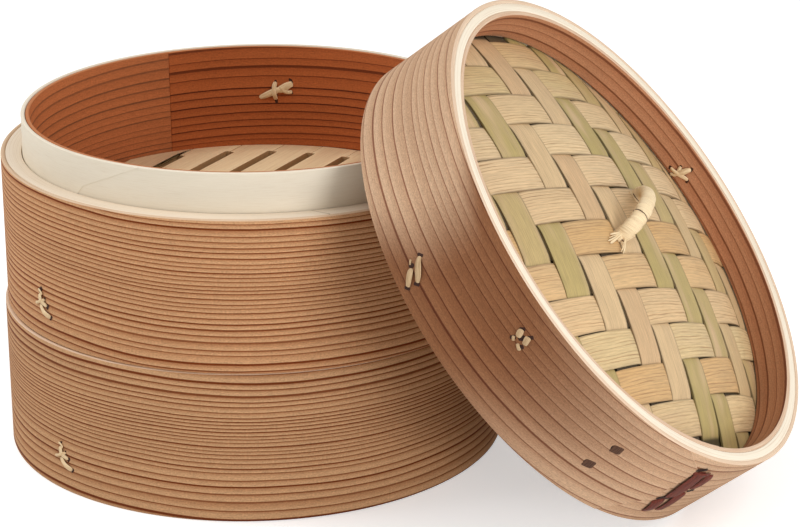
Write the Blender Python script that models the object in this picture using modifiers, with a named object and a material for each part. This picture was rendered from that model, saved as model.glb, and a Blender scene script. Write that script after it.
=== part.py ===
"""Bamboo steamer basket: two nesting tiers and a domed woven lid leaning on them.

Metres, +Z up. The lid leans along +X, and the origin is the middle of the
whole set's base. Every ring of a tier or of the lid is a band of its own.
"""

import math

import bmesh
import bpy
import numpy as np
from mathutils import Matrix, Vector

# Fits
GAP = 0.0003  # between pieces that touch
RING_STEPS = 48  # sides of every turned ring

# Tier: four bands round a slatted floor
TIER_RADIUS = 0.105
HOOP_HEIGHT = 0.0632
OUTER_WALL = 0.0018
CORE_WALL = 0.0066
LIP_WALL = 0.0017
LINER_WALL = 0.0016
LIP_PROUD = 0.0160  # lip above the ledge
NEST_SLACK = 0.0022  # round a lip inside the next tier's recess
NEST_HEADROOM = 0.0008  # above a lip inside the recess
EDGE_CHAMFER = 0.0006

# Tier floor
FLOOR_TOP = 0.0330
SLAT_THICKNESS = 0.0050
SLAT_PITCH = 0.0170
SLAT_COUNT = 10
SLOT_WIDTH = 0.0042
SHOULDER_LENGTH = 0.0108  # from the slat's round end to the slot
RING_WIDTH = 0.0080
RING_HEIGHT = 0.0080
BATTEN_WIDTH = 0.0090
BATTEN_HEIGHT = 0.0050
BATTEN_OFFSET = 0.0380
END_ARC_POINTS = 4

# Stack
UPPER_SHIFT = (0.0016, -0.0004)  # the upper tier sits a little off the lower one
LOWER_TURN = 38.0  # degrees from the lean direction to the slats' normal
UPPER_TURN = 84.6

# Lid
LID_OVERHANG = 0.0005  # lid radius beyond the tier's
LID_HEIGHT = 0.0476
LID_OUTER_WALL = 0.0016
LID_CORE_WALL = 0.0036
LID_UPPER_WALL = 0.0015
LID_SLACK = 0.0005  # round a lip inside the lid
WEAVE_DROP = 0.0163  # rim to the weave's clamped edge
WEAVE_RISE = 0.0145  # height of the dome
SHEET_THICKNESS = 0.0015
SHEET_RADIAL_POINTS = 5
LEAN_DEG = 51.7  # of the lid's axis from vertical
LEAN_SIDE = -0.0112  # lid centre beside the stack's centre
REST_GAP = 0.0003  # where the leaning lid meets the stack

# Handle: a cane loop through the weave, with a wrapping on its arch
HANDLE_CENTRE = (-0.0036, 0.0053)
HANDLE_TURN = 100.4
HANDLE_SPAN = 0.0320
HANDLE_RISE = 0.0095
HANDLE_CORE_RADIUS = 0.0012
HANDLE_WRAP_WALL = 0.0009
HANDLE_TOE = 0.0080
HANDLE_ARCH_STEPS = 8

# Lacing
CANE_RADIUS = 0.0007
STITCH_BITE = 0.0042  # how deep a tucked end goes into the wall
BARK_RADIUS = 0.0009
PEG_SIDE = 0.0034
PEG_DEPTH = 0.0036
PEG_PROUD = 0.0004
CORNER_RADIUS = 0.0009
CORNER_STEPS = 2

# Share of a turned ring's radius that its flats keep
FLAT_SHARE = math.cos(math.pi / RING_STEPS)

# Radii that follow from the walls
CORE_OUTER = TIER_RADIUS - OUTER_WALL - GAP
CORE_INNER = CORE_OUTER - CORE_WALL
LIP_OUTER = CORE_INNER - GAP
LIP_INNER = LIP_OUTER - LIP_WALL
LINER_OUTER = LIP_INNER - GAP
LINER_INNER = LINER_OUTER - LINER_WALL
RECESS_RADIUS = LIP_OUTER + NEST_SLACK
RECESS_DEPTH = LIP_PROUD + NEST_HEADROOM
FLOOR_RADIUS = LINER_INNER - GAP
SLAT_RADIUS = LINER_INNER * FLAT_SHARE - GAP
TIER_PITCH = HOOP_HEIGHT + GAP
LIP_TOP = HOOP_HEIGHT + LIP_PROUD
SLAT_BOTTOM = FLOOR_TOP - SLAT_THICKNESS
RING_INNER = FLOOR_RADIUS - RING_WIDTH

LID_RADIUS = TIER_RADIUS + LID_OVERHANG
LID_CORE_OUTER = LID_RADIUS - LID_OUTER_WALL - GAP
LID_CORE_INNER = LID_CORE_OUTER - LID_CORE_WALL
SHEET_RADIUS = LID_CORE_INNER - GAP
MOUTH_RADIUS = SHEET_RADIUS - LID_UPPER_WALL
LID_BORE = LIP_OUTER + LID_SLACK
WEAVE_EDGE = LID_HEIGHT - WEAVE_DROP
UNDER_EDGE = WEAVE_EDGE - SHEET_THICKNESS - GAP
LOWER_RING_TOP = UNDER_EDGE - SHEET_THICKNESS - GAP

# Stitches of a tier: name, kind, angle, height, width along the wall, rise
TIER_STITCHES = (
    ("lap_stitch", "tucked", 0.0, 0.0153, 0.0080, -0.0090),
    ("rim_stitch", "through", 228.5, 0.0540, 0.0160, -0.0060),
    ("tail_stitch", "tucked", 150.0, 0.0150, 0.0080, 0.0085),
)
UPPER_LAP_ANGLE = -120.0
LOWER_LAP_ANGLE = -113.8
LID_STITCHES = (
    ("lid_lower_stitch", "tucked", -111.5, 0.0118, 0.0028, 0.0092),
    ("lid_upper_stitch", "tucked", -88.6, 0.0352, 0.0052, 0.0),
    ("lid_rim_stitch", "through", 88.8, 0.0385, 0.0090, 0.0040),
)
BARK_ANGLE = -31.5
BARK_FOOT = 0.0085
BARK_HEAD = 0.0405
PEG_PLACES = ((-57.1, 0.0184), (-56.4, 0.0308))

# Colours: linear base colour and roughness
FINISHES = {
    "cedar_wrap": ((0.42, 0.22, 0.11), 0.62),
    "pale_wood": ((0.74, 0.61, 0.42), 0.58),
    "cedar_liner": ((0.30, 0.095, 0.035), 0.6),
    "bamboo_slat": ((0.55, 0.38, 0.20), 0.5),
    "bamboo_weave": ((0.60, 0.46, 0.24), 0.5),
    "cane": ((0.66, 0.47, 0.26), 0.5),
    "bark": ((0.10, 0.032, 0.018), 0.6),
}


def clear_scene():
    for obj in list(bpy.data.objects):
        bpy.data.objects.remove(obj)


def make_collection(name):
    collection = bpy.data.collections.new(name)
    bpy.context.scene.collection.children.link(collection)
    return collection


def make_material(finish):
    colour, roughness = FINISHES[finish]
    material = bpy.data.materials.get(finish) or bpy.data.materials.new(finish)
    material.use_nodes = True
    shader = material.node_tree.nodes["Principled BSDF"]
    shader.inputs["Base Color"].default_value = (*colour, 1.0)
    shader.inputs["Roughness"].default_value = roughness
    shader.inputs["Metallic"].default_value = 0.0
    return material


def add_object(name, data, finish, collection, parent):
    obj = bpy.data.objects.new(name, data)
    obj.parent = parent
    collection.objects.link(obj)
    if finish:
        data.materials.append(make_material(finish))
    return obj


def add_frame(name, location, parent=None, tilt=0.0, turn=0.0):
    frame = bpy.data.objects.new(name, None)
    frame.location = location
    frame.rotation_euler = (0.0, tilt, turn)
    frame.parent = parent
    bpy.context.scene.collection.objects.link(frame)
    return frame


def polar(radius, degrees, height):
    angle = math.radians(degrees)
    return Vector((radius * math.cos(angle), radius * math.sin(angle), height))


def turned(name, profile, finish, collection, parent, closed=True):
    """Screw a profile of (radius, height) points, given down its outer side first."""
    mesh = bpy.data.meshes.new(name)
    count = len(profile)
    edges = [(i, (i + 1) % count) for i in range(count if closed else count - 1)]
    mesh.from_pydata([(radius, 0.0, height) for radius, height in profile], edges, [])
    obj = add_object(name, mesh, finish, collection, parent)
    screw = obj.modifiers.new("turn", "SCREW")
    screw.steps = RING_STEPS
    screw.render_steps = RING_STEPS
    screw.use_merge_vertices = True
    screw.merge_threshold = 0.00001
    screw.use_smooth_shade = False
    return obj


def band_profile(outer, inner, low, high, chamfer):
    """Section of a plain band whose outer edges are eased."""
    return (
        (outer - chamfer, high),
        (outer, high - chamfer),
        (outer, low + chamfer),
        (outer - chamfer, low),
        (inner, low),
        (inner, high),
    )


def rounded_path(corners, cyclic):
    """Replace each corner of a path by a short arc, kept inside its two legs."""
    points = []
    count = len(corners)
    for i, corner in enumerate(corners):
        if not cyclic and i in (0, count - 1):
            points.append(corner)
            continue
        before = corners[i - 1] - corner
        after = corners[(i + 1) % count] - corner
        reach = min(CORNER_RADIUS, before.length / 3, after.length / 3)
        start = corner + before.normalized() * reach
        end = corner + after.normalized() * reach
        for step in range(CORNER_STEPS + 1):
            share = step / CORNER_STEPS
            near = start.lerp(corner, share)
            far = corner.lerp(end, share)
            points.append(near.lerp(far, share))
    return points


def strand(name, points, radius, finish, collection, parent, cyclic=False):
    """A round strand along a path."""
    curve = bpy.data.curves.new(name, "CURVE")
    curve.dimensions = "3D"
    curve.bevel_depth = radius
    curve.bevel_resolution = 2
    curve.use_fill_caps = True
    spline = curve.splines.new("POLY")
    spline.points.add(len(points) - 1)
    for point, place in zip(spline.points, points):
        point.co = (*place, 1.0)
    spline.use_cyclic_u = cyclic
    return add_object(name, curve, finish, collection, parent)


def square_bars(name, bars, side, finish, collection, parent):
    """Square bars in one mesh, each given as (middle, direction, length)."""
    mesh = bpy.data.meshes.new(name)
    shape = bmesh.new()
    for middle, direction, length in bars:
        turn = direction.to_track_quat("X", "Z").to_matrix().to_4x4()
        sizes = Matrix.Diagonal((length, side, side, 1.0))
        bmesh.ops.create_cube(shape, size=1.0, matrix=Matrix.Translation(middle) @ turn @ sizes)
    shape.to_mesh(mesh)
    shape.free()
    return add_object(name, mesh, finish, collection, parent)


def add_cutter(name, bars, side, cutters, parent):
    cutter = square_bars(name, bars, side, None, cutters, parent)
    cutter.hide_render = True
    cutter.display_type = "WIRE"
    return cutter


def cut(target, cutter):
    modifier = target.modifiers.new(cutter.name, "BOOLEAN")
    modifier.operation = "DIFFERENCE"
    modifier.solver = "EXACT"
    modifier.object = cutter


def stitch(name, kind, angle, height, width, rise, walls, sets, parent):
    """Lace a strand over the wall, through it, or with its ends tucked in.

    walls holds the hoops from the outside in, as (object, outer, inner) radii.
    """
    parts, cutters = sets
    outer_face = walls[0][1]
    half_turn = math.degrees(width / 2 / outer_face)
    ends = ((angle - half_turn, height - rise / 2), (angle + half_turn, height + rise / 2))
    outside = outer_face + GAP + CANE_RADIUS
    middle = polar(outside + GAP, angle, height)
    tops = [polar(outside, *end) for end in ends]
    if kind == "through":
        deep = walls[-1][2] * FLAT_SHARE - GAP - CANE_RADIUS
    else:
        deep = outer_face - STITCH_BITE
    roots = [polar(deep, *end) for end in ends]
    cyclic = kind == "through"
    path = rounded_path([roots[0], tops[0], middle, tops[1], roots[1]], cyclic)
    strand(name, path, CANE_RADIUS, "cane", parts, parent, cyclic)
    bars = []
    for end_angle, end_height in ends:
        low = deep - GAP
        high = outside + CANE_RADIUS
        centre = polar((low + high) / 2, end_angle, end_height)
        bars.append((centre, polar(1.0, end_angle, 0.0), high - low))
    cutter = add_cutter(name + "_holes", bars, 2 * (CANE_RADIUS + GAP), cutters, parent)
    for hoop, hoop_outer, _ in walls:
        if hoop_outer > deep:
            cut(hoop, cutter)


def slat_outline(low, high):
    """Outline of one slat between two lines, with slots beside it and round ends.

    x runs across the slats and y along them.
    """
    half_gap = GAP / 2
    slot_radius = SLAT_RADIUS - SHOULDER_LENGTH
    edges = []
    for line, inward in ((low, 1), (high, -1)):
        side = line + inward * half_gap
        if abs(line) >= slot_radius:
            edges.append((side, side, 0.0))
            continue
        notch = line + inward * SLOT_WIDTH / 2
        slot_end = math.sqrt(slot_radius**2 - line**2)
        edges.append((side, notch, slot_end))
    (left, left_notch, left_end), (right, right_notch, right_end) = edges
    arc = []
    for step in range(END_ARC_POINTS + 1):
        x = left + (right - left) * step / END_ARC_POINTS
        arc.append((x, math.sqrt(max(SLAT_RADIUS**2 - x**2, 0.0))))
    top = [(left_notch, left_end), (left, left_end)] if left_end else []
    top += arc
    top += [(right, right_end), (right_notch, right_end)] if right_end else []
    bottom = [(x, -y) for x, y in reversed(top) if y > 0.0]
    return top + bottom


def plate(name, outline, low, thickness, finish, collection, parent):
    """A flat piece with the given outline, from height low up."""
    curve = bpy.data.curves.new(name, "CURVE")
    curve.dimensions = "2D"
    curve.fill_mode = "BOTH"
    curve.extrude = thickness / 2
    spline = curve.splines.new("POLY")
    spline.points.add(len(outline) - 1)
    for point, (x, y) in zip(spline.points, outline):
        point.co = (x, y, 0.0, 1.0)
    spline.use_cyclic_u = True
    obj = add_object(name, curve, finish, collection, parent)
    obj.location.z = low + thickness / 2
    return obj


def make_floor(tier, sets, frame, turn):
    """Slats on a support ring, held level by two battens underneath."""
    parts, _ = sets
    ring_top = SLAT_BOTTOM - GAP
    ring = band_profile(FLOOR_RADIUS, RING_INNER, ring_top - RING_HEIGHT, ring_top, 0.0003)
    turned(tier + "_floor_ring", ring, "pale_wood", parts, frame)
    lines = [(i - SLAT_COUNT / 2) * SLAT_PITCH for i in range(SLAT_COUNT + 1)]
    lines[0] = -SLAT_RADIUS + GAP / 2
    lines[-1] = SLAT_RADIUS - GAP / 2
    spin = math.radians(turn - 90.0)
    for i in range(SLAT_COUNT):
        outline = slat_outline(lines[i], lines[i + 1])
        name = f"{tier}_slat_{i + 1:02d}"
        slat = plate(name, outline, SLAT_BOTTOM, SLAT_THICKNESS, "bamboo_slat", parts, frame)
        slat.rotation_euler.z = spin
    batten_radius = RING_INNER * FLAT_SHARE - GAP
    reach = math.sqrt(batten_radius**2 - (BATTEN_OFFSET + BATTEN_WIDTH / 2) ** 2)
    for side, sign in (("near", -1), ("far", 1)):
        near_edge = sign * BATTEN_OFFSET - BATTEN_WIDTH / 2
        far_edge = sign * BATTEN_OFFSET + BATTEN_WIDTH / 2
        outline = ((-reach, near_edge), (-reach, far_edge), (reach, far_edge), (reach, near_edge))
        low = ring_top - BATTEN_HEIGHT
        name = f"{tier}_{side}_batten"
        batten = plate(name, outline, low, BATTEN_HEIGHT, "bamboo_slat", parts, frame)
        batten.rotation_euler.z = spin


def make_tier(tier, sets, frame, turn, lap_angle):
    """Four bands, the floor inside them and the lacing through them."""
    parts, _ = sets
    outer = band_profile(TIER_RADIUS, TIER_RADIUS - OUTER_WALL, 0.0, HOOP_HEIGHT, EDGE_CHAMFER)
    core = (
        (CORE_OUTER, HOOP_HEIGHT),
        (CORE_OUTER, 0.0),
        (RECESS_RADIUS, 0.0),
        (RECESS_RADIUS, RECESS_DEPTH),
        (CORE_INNER, RECESS_DEPTH),
        (CORE_INNER, HOOP_HEIGHT),
    )
    lip = band_profile(LIP_OUTER, LIP_INNER, RECESS_DEPTH, LIP_TOP, GAP)
    liner = (
        (LINER_OUTER, LIP_TOP),
        (LINER_OUTER, RECESS_DEPTH),
        (LINER_INNER, RECESS_DEPTH),
        (LINER_INNER, LIP_TOP),
    )
    walls = (
        (turned(tier + "_outer_hoop", outer, "cedar_wrap", parts, frame), TIER_RADIUS, CORE_OUTER),
        (turned(tier + "_core_hoop", core, "pale_wood", parts, frame), CORE_OUTER, CORE_INNER),
        (turned(tier + "_lip_band", lip, "pale_wood", parts, frame), LIP_OUTER, LIP_INNER),
        (turned(tier + "_liner", liner, "cedar_liner", parts, frame), LINER_OUTER, LINER_INNER),
    )
    make_floor(tier, sets, frame, turn)
    for name, kind, angle, height, width, rise in TIER_STITCHES:
        place = (lap_angle + angle, height, width, rise)
        stitch(f"{tier}_{name}", kind, *place, walls, sets, frame)


def dome(radius):
    """Rise of the woven sheets above their clamped edge."""
    return WEAVE_RISE * max(1.0 - (radius / MOUTH_RADIUS) ** 2, 0.0)


def sheet_profile(edge_height):
    """Section of a domed sheet with a flat clamped border, from the centre out and back."""
    radii = [MOUTH_RADIUS * i / SHEET_RADIAL_POINTS for i in range(SHEET_RADIAL_POINTS + 1)]
    radii.append(SHEET_RADIUS)
    top = [(radius, edge_height + dome(radius)) for radius in radii]
    bottom = [(radius, height - SHEET_THICKNESS) for radius, height in reversed(top)]
    return top + bottom


def handle_arch():
    """The loop's arch in its own upright plane: x along the span, z up from the lid's mouth."""
    half = HANDLE_SPAN / 2
    foot = WEAVE_EDGE + WEAVE_RISE + GAP + HANDLE_WRAP_WALL
    points = []
    for i in range(HANDLE_ARCH_STEPS + 1):
        angle = math.pi * i / HANDLE_ARCH_STEPS
        rise = HANDLE_RISE * max(math.sin(angle), 0.0) ** 0.8
        points.append(Vector((-half * math.cos(angle), 0.0, foot + rise)))
    return points


def handle_core_path():
    """The arch with its legs through both sheets and a toe turned out under each foot."""
    half = HANDLE_SPAN / 2
    centre = Vector(HANDLE_CENTRE).length
    below = UNDER_EDGE - SHEET_THICKNESS - 2 * GAP - HANDLE_CORE_RADIUS
    knee_height = below + dome(half + centre)
    toe_height = below + dome(half + centre + HANDLE_TOE)
    left = [Vector((-half - HANDLE_TOE, 0.0, toe_height)), Vector((-half, 0.0, knee_height))]
    right = [Vector((half, 0.0, knee_height)), Vector((half + HANDLE_TOE, 0.0, toe_height))]
    return left + handle_arch() + right


def hollow_sleeve(name, points, bore, wall, finish, collection, parent):
    """A tube with an open bore along points."""
    curve = bpy.data.curves.new(name, "CURVE")
    curve.dimensions = "3D"
    curve.bevel_depth = bore + wall
    curve.bevel_resolution = 2
    spline = curve.splines.new("POLY")
    spline.points.add(len(points) - 1)
    for point, place in zip(spline.points, points):
        point.co = (*place, 1.0)
    skin = bpy.data.objects.new(name + "_skin", curve)
    bpy.context.scene.collection.objects.link(skin)
    graph = bpy.context.evaluated_depsgraph_get()
    mesh = bpy.data.meshes.new_from_object(skin.evaluated_get(graph))
    mesh.name = name
    bpy.data.objects.remove(skin)
    obj = add_object(name, mesh, finish, collection, parent)
    solidify = obj.modifiers.new("wall", "SOLIDIFY")
    solidify.thickness = wall
    solidify.offset = -1.0
    return obj


def make_handle(sets, lid_frame, sheets):
    """A cane loop whose legs pass through both woven sheets."""
    parts, cutters = sets
    place = (HANDLE_CENTRE[0], HANDLE_CENTRE[1], 0.0)
    frame = add_frame("handle_frame", place, lid_frame, turn=math.radians(HANDLE_TURN))
    strand("lid_handle_core", handle_core_path(), HANDLE_CORE_RADIUS, "cane", parts, frame)
    bore = HANDLE_CORE_RADIUS + GAP
    hollow_sleeve("lid_handle_wrap", handle_arch(), bore, HANDLE_WRAP_WALL, "cane", parts, frame)
    crown = WEAVE_EDGE + WEAVE_RISE
    bars = []
    for sign in (-1, 1):
        middle = Vector((sign * HANDLE_SPAN / 2, 0.0, crown - 2 * SHEET_THICKNESS))
        bars.append((middle, Vector((0.0, 0.0, 1.0)), 8 * SHEET_THICKNESS))
    side = 2 * (HANDLE_CORE_RADIUS + GAP)
    cutter = add_cutter("handle_holes", bars, side, cutters, frame)
    for sheet in sheets:
        cut(sheet, cutter)


def make_lid(sets, frame):
    """Four bands that clamp two domed sheets, with the handle and the lacing."""
    parts, _ = sets
    outer = band_profile(LID_RADIUS, LID_RADIUS - LID_OUTER_WALL, 0.0, LID_HEIGHT, EDGE_CHAMFER)
    core = band_profile(LID_CORE_OUTER, LID_CORE_INNER, 0.0, LID_HEIGHT, 0.0003)
    upper = band_profile(SHEET_RADIUS, MOUTH_RADIUS, WEAVE_EDGE + GAP, LID_HEIGHT, 0.0003)
    lower = band_profile(SHEET_RADIUS, LID_BORE, 0.0, LOWER_RING_TOP, 0.0003)
    outer_hoop = turned("lid_outer_hoop", outer, "cedar_wrap", parts, frame)
    core_hoop = turned("lid_core_hoop", core, "pale_wood", parts, frame)
    upper_ring = turned("lid_upper_ring", upper, "cedar_liner", parts, frame)
    turned("lid_lower_ring", lower, "cedar_liner", parts, frame)
    sheets = []
    for name, edge in (("lid_top_weave", WEAVE_EDGE), ("lid_under_weave", UNDER_EDGE)):
        profile = sheet_profile(edge)
        sheets.append(turned(name, profile, "bamboo_weave", parts, frame, closed=False))
    make_handle(sets, frame, sheets)
    walls = (
        (outer_hoop, LID_RADIUS, LID_CORE_OUTER),
        (core_hoop, LID_CORE_OUTER, LID_CORE_INNER),
        (upper_ring, SHEET_RADIUS, MOUTH_RADIUS),
    )
    for name, kind, *place in LID_STITCHES:
        stitch(name, kind, *place, walls, sets, frame)
    make_bark_lace(walls, sets, frame)
    make_pegs(walls, sets, frame)


def make_bark_lace(walls, sets, frame):
    """One long strand of bark over the lap of the outer hoop, its ends tucked in."""
    parts, cutters = sets
    outside = LID_RADIUS + GAP + BARK_RADIUS
    deep = LID_RADIUS - STITCH_BITE
    ends = (BARK_FOOT, BARK_HEAD)
    corners = [polar(deep, BARK_ANGLE, ends[0])]
    corners += [polar(outside, BARK_ANGLE, end) for end in ends]
    corners.append(polar(deep, BARK_ANGLE, ends[1]))
    strand("lid_bark_lace", rounded_path(corners, False), BARK_RADIUS, "bark", parts, frame)
    length = outside + BARK_RADIUS - (deep - GAP)
    middle_radius = outside + BARK_RADIUS - length / 2
    direction = polar(1.0, BARK_ANGLE, 0.0)
    bars = [(polar(middle_radius, BARK_ANGLE, end), direction, length) for end in ends]
    cutter = add_cutter("bark_holes", bars, 2 * (BARK_RADIUS + GAP), cutters, frame)
    for hoop, _, _ in walls[:2]:
        cut(hoop, cutter)


def make_pegs(walls, sets, frame):
    """Square bark pegs driven into the lid's outer hoop."""
    parts, cutters = sets
    for i, (angle, height) in enumerate(PEG_PLACES):
        direction = polar(1.0, angle, 0.0)
        length = PEG_DEPTH + PEG_PROUD
        middle = polar(LID_RADIUS + PEG_PROUD - length / 2, angle, height)
        name = f"lid_bark_peg_{i + 1}"
        square_bars(name, [(middle, direction, length)], PEG_SIDE, "bark", parts, frame)
        hole = [(middle, direction, length + 2 * GAP)]
        cutter = add_cutter(f"peg_hole_{i + 1}", hole, PEG_SIDE + 2 * GAP, cutters, frame)
        for hoop, _, _ in walls[:2]:
            cut(hoop, cutter)


def stack_depth(points):
    """How deep each point lies inside the stack's walls, negative outside."""
    shifted = points - np.array([*UPPER_SHIFT, 0.0])
    upper = np.hypot(shifted[:, 0], shifted[:, 1])
    lower = np.hypot(points[:, 0], points[:, 1])
    height = points[:, 2]
    ledge = np.minimum(TIER_RADIUS - upper, TIER_PITCH + HOOP_HEIGHT - height)
    lip = np.minimum(LIP_OUTER - upper, TIER_PITCH + LIP_TOP - height)
    hollow = upper - LINER_INNER
    base = np.minimum(TIER_RADIUS - lower, HOOP_HEIGHT - height)
    return np.maximum(np.minimum(np.maximum(ledge, lip), hollow), base)


def lid_samples():
    """Points on the faces of the lid's hoop that can meet the stack, in the lid's frame."""
    angles = np.radians(np.arange(0.0, 360.0, 0.5))
    rows = []
    for radius in np.linspace(LID_BORE, LID_RADIUS, 5):
        for height in np.linspace(0.0, LOWER_RING_TOP, 6):
            level = np.full_like(angles, height)
            rows.append(np.stack([radius * np.cos(angles), radius * np.sin(angles), level], axis=1))
    return np.concatenate(rows)


def lean_place():
    """Where the lid's mouth centre goes for it to stand on the ground and just meet the stack."""
    tilt = math.radians(LEAN_DEG)
    turn = np.array(Matrix.Rotation(tilt, 3, "Y"))
    cloud = lid_samples() @ turn.T
    height = LID_RADIUS * math.sin(tilt)
    near, far = 0.5 * TIER_RADIUS, 4.0 * TIER_RADIUS
    for _ in range(40):
        middle = (near + far) / 2
        depth = stack_depth(cloud + np.array([middle, LEAN_SIDE, height])).max()
        if depth > -REST_GAP:
            near = middle
        else:
            far = middle
    return Vector((far, LEAN_SIDE, height))


def centre_base(root, collection):
    """Move the whole set so that the middle of its base is the origin."""
    bpy.context.view_layer.update()
    graph = bpy.context.evaluated_depsgraph_get()
    corners = []
    for obj in collection.objects:
        evaluated = obj.evaluated_get(graph)
        mesh = evaluated.to_mesh()
        corners += [evaluated.matrix_world @ vertex.co for vertex in mesh.vertices]
        evaluated.to_mesh_clear()
    low = [min(corner[axis] for corner in corners) for axis in range(3)]
    high = [max(corner[axis] for corner in corners) for axis in range(3)]
    root.location = (-(low[0] + high[0]) / 2, -(low[1] + high[1]) / 2, -low[2])


def main():
    clear_scene()
    sets = (make_collection("bamboo_steamer"), make_collection("cutters"))
    root = add_frame("set_frame", (0.0, 0.0, 0.0))
    lower_frame = add_frame("lower_tier_frame", (0.0, 0.0, 0.0), root)
    upper_frame = add_frame("upper_tier_frame", (*UPPER_SHIFT, TIER_PITCH), root)
    lid_frame = add_frame("lid_frame", lean_place(), root, tilt=math.radians(LEAN_DEG))
    make_tier("lower", sets, lower_frame, LOWER_TURN, LOWER_LAP_ANGLE)
    make_tier("upper", sets, upper_frame, UPPER_TURN, UPPER_LAP_ANGLE)
    make_lid(sets, lid_frame)
    centre_base(root, sets[0])
    bpy.context.view_layer.update()


main()
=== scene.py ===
"""Looks of a bamboo steamer set: two cedar tiers and the woven lid that leans on them.

Lengths are metres and angles degrees unless a name says millimetres. Each tier
and the lid is modelled about its own upright axis and then put in its place.
"""

import logging
import math
import random
from collections.abc import Callable, Sequence
from dataclasses import dataclass, field
from enum import Enum

import bpy
import numpy as np
from mathutils import Matrix, Vector


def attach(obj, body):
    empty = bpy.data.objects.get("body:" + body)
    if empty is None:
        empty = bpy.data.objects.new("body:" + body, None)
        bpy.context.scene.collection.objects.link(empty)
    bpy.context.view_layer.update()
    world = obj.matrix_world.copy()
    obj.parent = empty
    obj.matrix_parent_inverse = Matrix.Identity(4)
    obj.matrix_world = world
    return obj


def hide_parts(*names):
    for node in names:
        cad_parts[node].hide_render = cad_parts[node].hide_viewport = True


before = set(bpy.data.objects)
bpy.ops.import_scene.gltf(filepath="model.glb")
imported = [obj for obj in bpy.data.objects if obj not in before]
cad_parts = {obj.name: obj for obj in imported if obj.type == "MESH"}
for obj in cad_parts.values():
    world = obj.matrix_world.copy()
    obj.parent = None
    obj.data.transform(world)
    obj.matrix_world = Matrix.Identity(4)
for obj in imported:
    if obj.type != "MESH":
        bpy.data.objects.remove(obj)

LOG = logging.getLogger("steamer")
Colour = tuple[float, float, float]
Pair = tuple[float, float]
Knot = tuple[float, float, float]
Piece = bpy.types.Object
Rule = Callable[[np.ndarray], np.ndarray]

MM = 0.001
TURN = 2 * math.pi  # one full turn
WHITE = (1.0, 1.0, 1.0, 1.0)
SENSOR_MM = 36.0
HAIR = 0.0001  # how far one edge stands back from the next
SAME_POINT = 2e-6  # points nearer than this are one
SAWN_POINT = 1e-5  # the same, after turning or sawing
GRAIN = "grain"  # UV map: metres along the fibre and across it
CUT = "cut"  # face attribute: 1 on sawn edges, and on flat dark holes and hollows that are painted shade
TONE = "tone"  # face attribute: how dark or warm a strip is
GREEN = "green"  # face attribute: how much green skin a strip keeps
UNDER_SHADE_MARK = "deep"  # point attribute: 1 where a strip runs under another, where the finish paints shade
SEED = "seed"  # face attribute: tells one strip's noise from another's
RING_STEPS = 240
JOINT_GAP = 0.0014  # angle between the two ends of a band, in radians
SAWN_UP, SAWN_DOWN = 0.55, -0.75  # face normals past these lie on a band's sawn edges
FLAT, UPRIGHT = 0.6, 0.5  # the same for a board's faces and sides
LINE_RISE, LINE_FALL = 0.055, 0.955  # where a growth line comes up and dies away in its ring
PALE_FADE_MM = (90.0, 260.0)  # how far past the joint the paler end reaches
SCARF_LEAN = 0.9  # slope of the core's scarf across its edge
SCARF_AT_MM = 96.3  # radius at which the scarf starts
SCARF_HALF_MM = (0.10, 0.42)  # half its width, dark and faded
LAST_PHASE = 6.28
RIM_STITCH_TURN, TAIL_STITCH_TURN = 228.5, 150.0  # from a tier's lap stitch


# ---------------------------------------------------------------- hand work


def clear_choice() -> None:
    """Leaves no object selected."""
    bpy.ops.object.select_all(action="DESELECT")


def pick(piece: Piece) -> None:
    """Selects one piece alone and makes it active.

    Args:
        piece: The piece to work on.
    """
    clear_choice()
    piece.select_set(True)
    bpy.context.view_layer.objects.active = piece


def apply_modifier(piece: Piece, kind: str, **settings: object) -> None:
    """Adds a modifier with its settings and applies it.

    Args:
        piece: The piece to change.
        kind: The modifier's type.
        **settings: The modifier's own properties.
    """
    pick(piece)
    made = piece.modifiers.new(kind.title(), kind)
    for key, value in settings.items():
        setattr(made, key, value)
    bpy.ops.object.modifier_apply(modifier=made.name)


def ease_edges(piece: Piece, width: float, segments: int = 2) -> None:
    """Rounds the sharp edges of a piece.

    Args:
        piece: The piece to change.
        width: How far the rounding reaches.
        segments: Faces across the rounding.
    """
    apply_modifier(
        piece,
        "BEVEL",
        width=width,
        segments=segments,
        limit_method="ANGLE",
        angle_limit=math.radians(40),
    )


def smooth(piece: Piece, angle: float = 40.0) -> None:
    """Shades a piece smooth, with edges sharper than an angle kept."""
    pick(piece)
    bpy.ops.object.shade_smooth_by_angle(angle=math.radians(angle))


def settle(piece: Piece) -> None:
    """Puts a piece's place, turn and scale into its mesh."""
    pick(piece)
    bpy.ops.object.transform_apply(location=True, rotation=True, scale=True)


def mend(piece: Piece, distance: float = SAME_POINT) -> None:
    """Merges doubles and turns all faces outwards.

    Args:
        piece: The piece to mend.
        distance: Points nearer than this become one.
    """
    pick(piece)
    bpy.ops.object.mode_set(mode="EDIT")
    bpy.ops.mesh.select_all(action="SELECT")
    bpy.ops.mesh.remove_doubles(threshold=distance)
    bpy.ops.mesh.normals_make_consistent(inside=False)
    bpy.ops.object.mode_set(mode="OBJECT")


def join(name: str, parts: Sequence[Piece]) -> Piece:
    """Joins parts into one piece.

    Args:
        name: The name of the joined piece.
        parts: What to join.

    Returns:
        The joined piece.
    """
    clear_choice()
    for part in parts:
        part.select_set(True)
    bpy.context.view_layer.objects.active = parts[0]
    if len(parts) > 1:
        bpy.ops.object.join()
    parts[0].name = name
    parts[0].data.name = name
    return parts[0]


def points_of(piece: Piece) -> np.ndarray:
    """Reads a mesh's points as rows of x, y, z."""
    flat = np.empty(len(piece.data.vertices) * 3)
    piece.data.vertices.foreach_get("co", flat)
    return flat.reshape(-1, 3)


def set_points(piece: Piece, points: np.ndarray) -> None:
    """Writes a mesh's points back."""
    piece.data.vertices.foreach_set("co", np.ascontiguousarray(points, dtype=float).ravel())
    piece.data.update()


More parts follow.
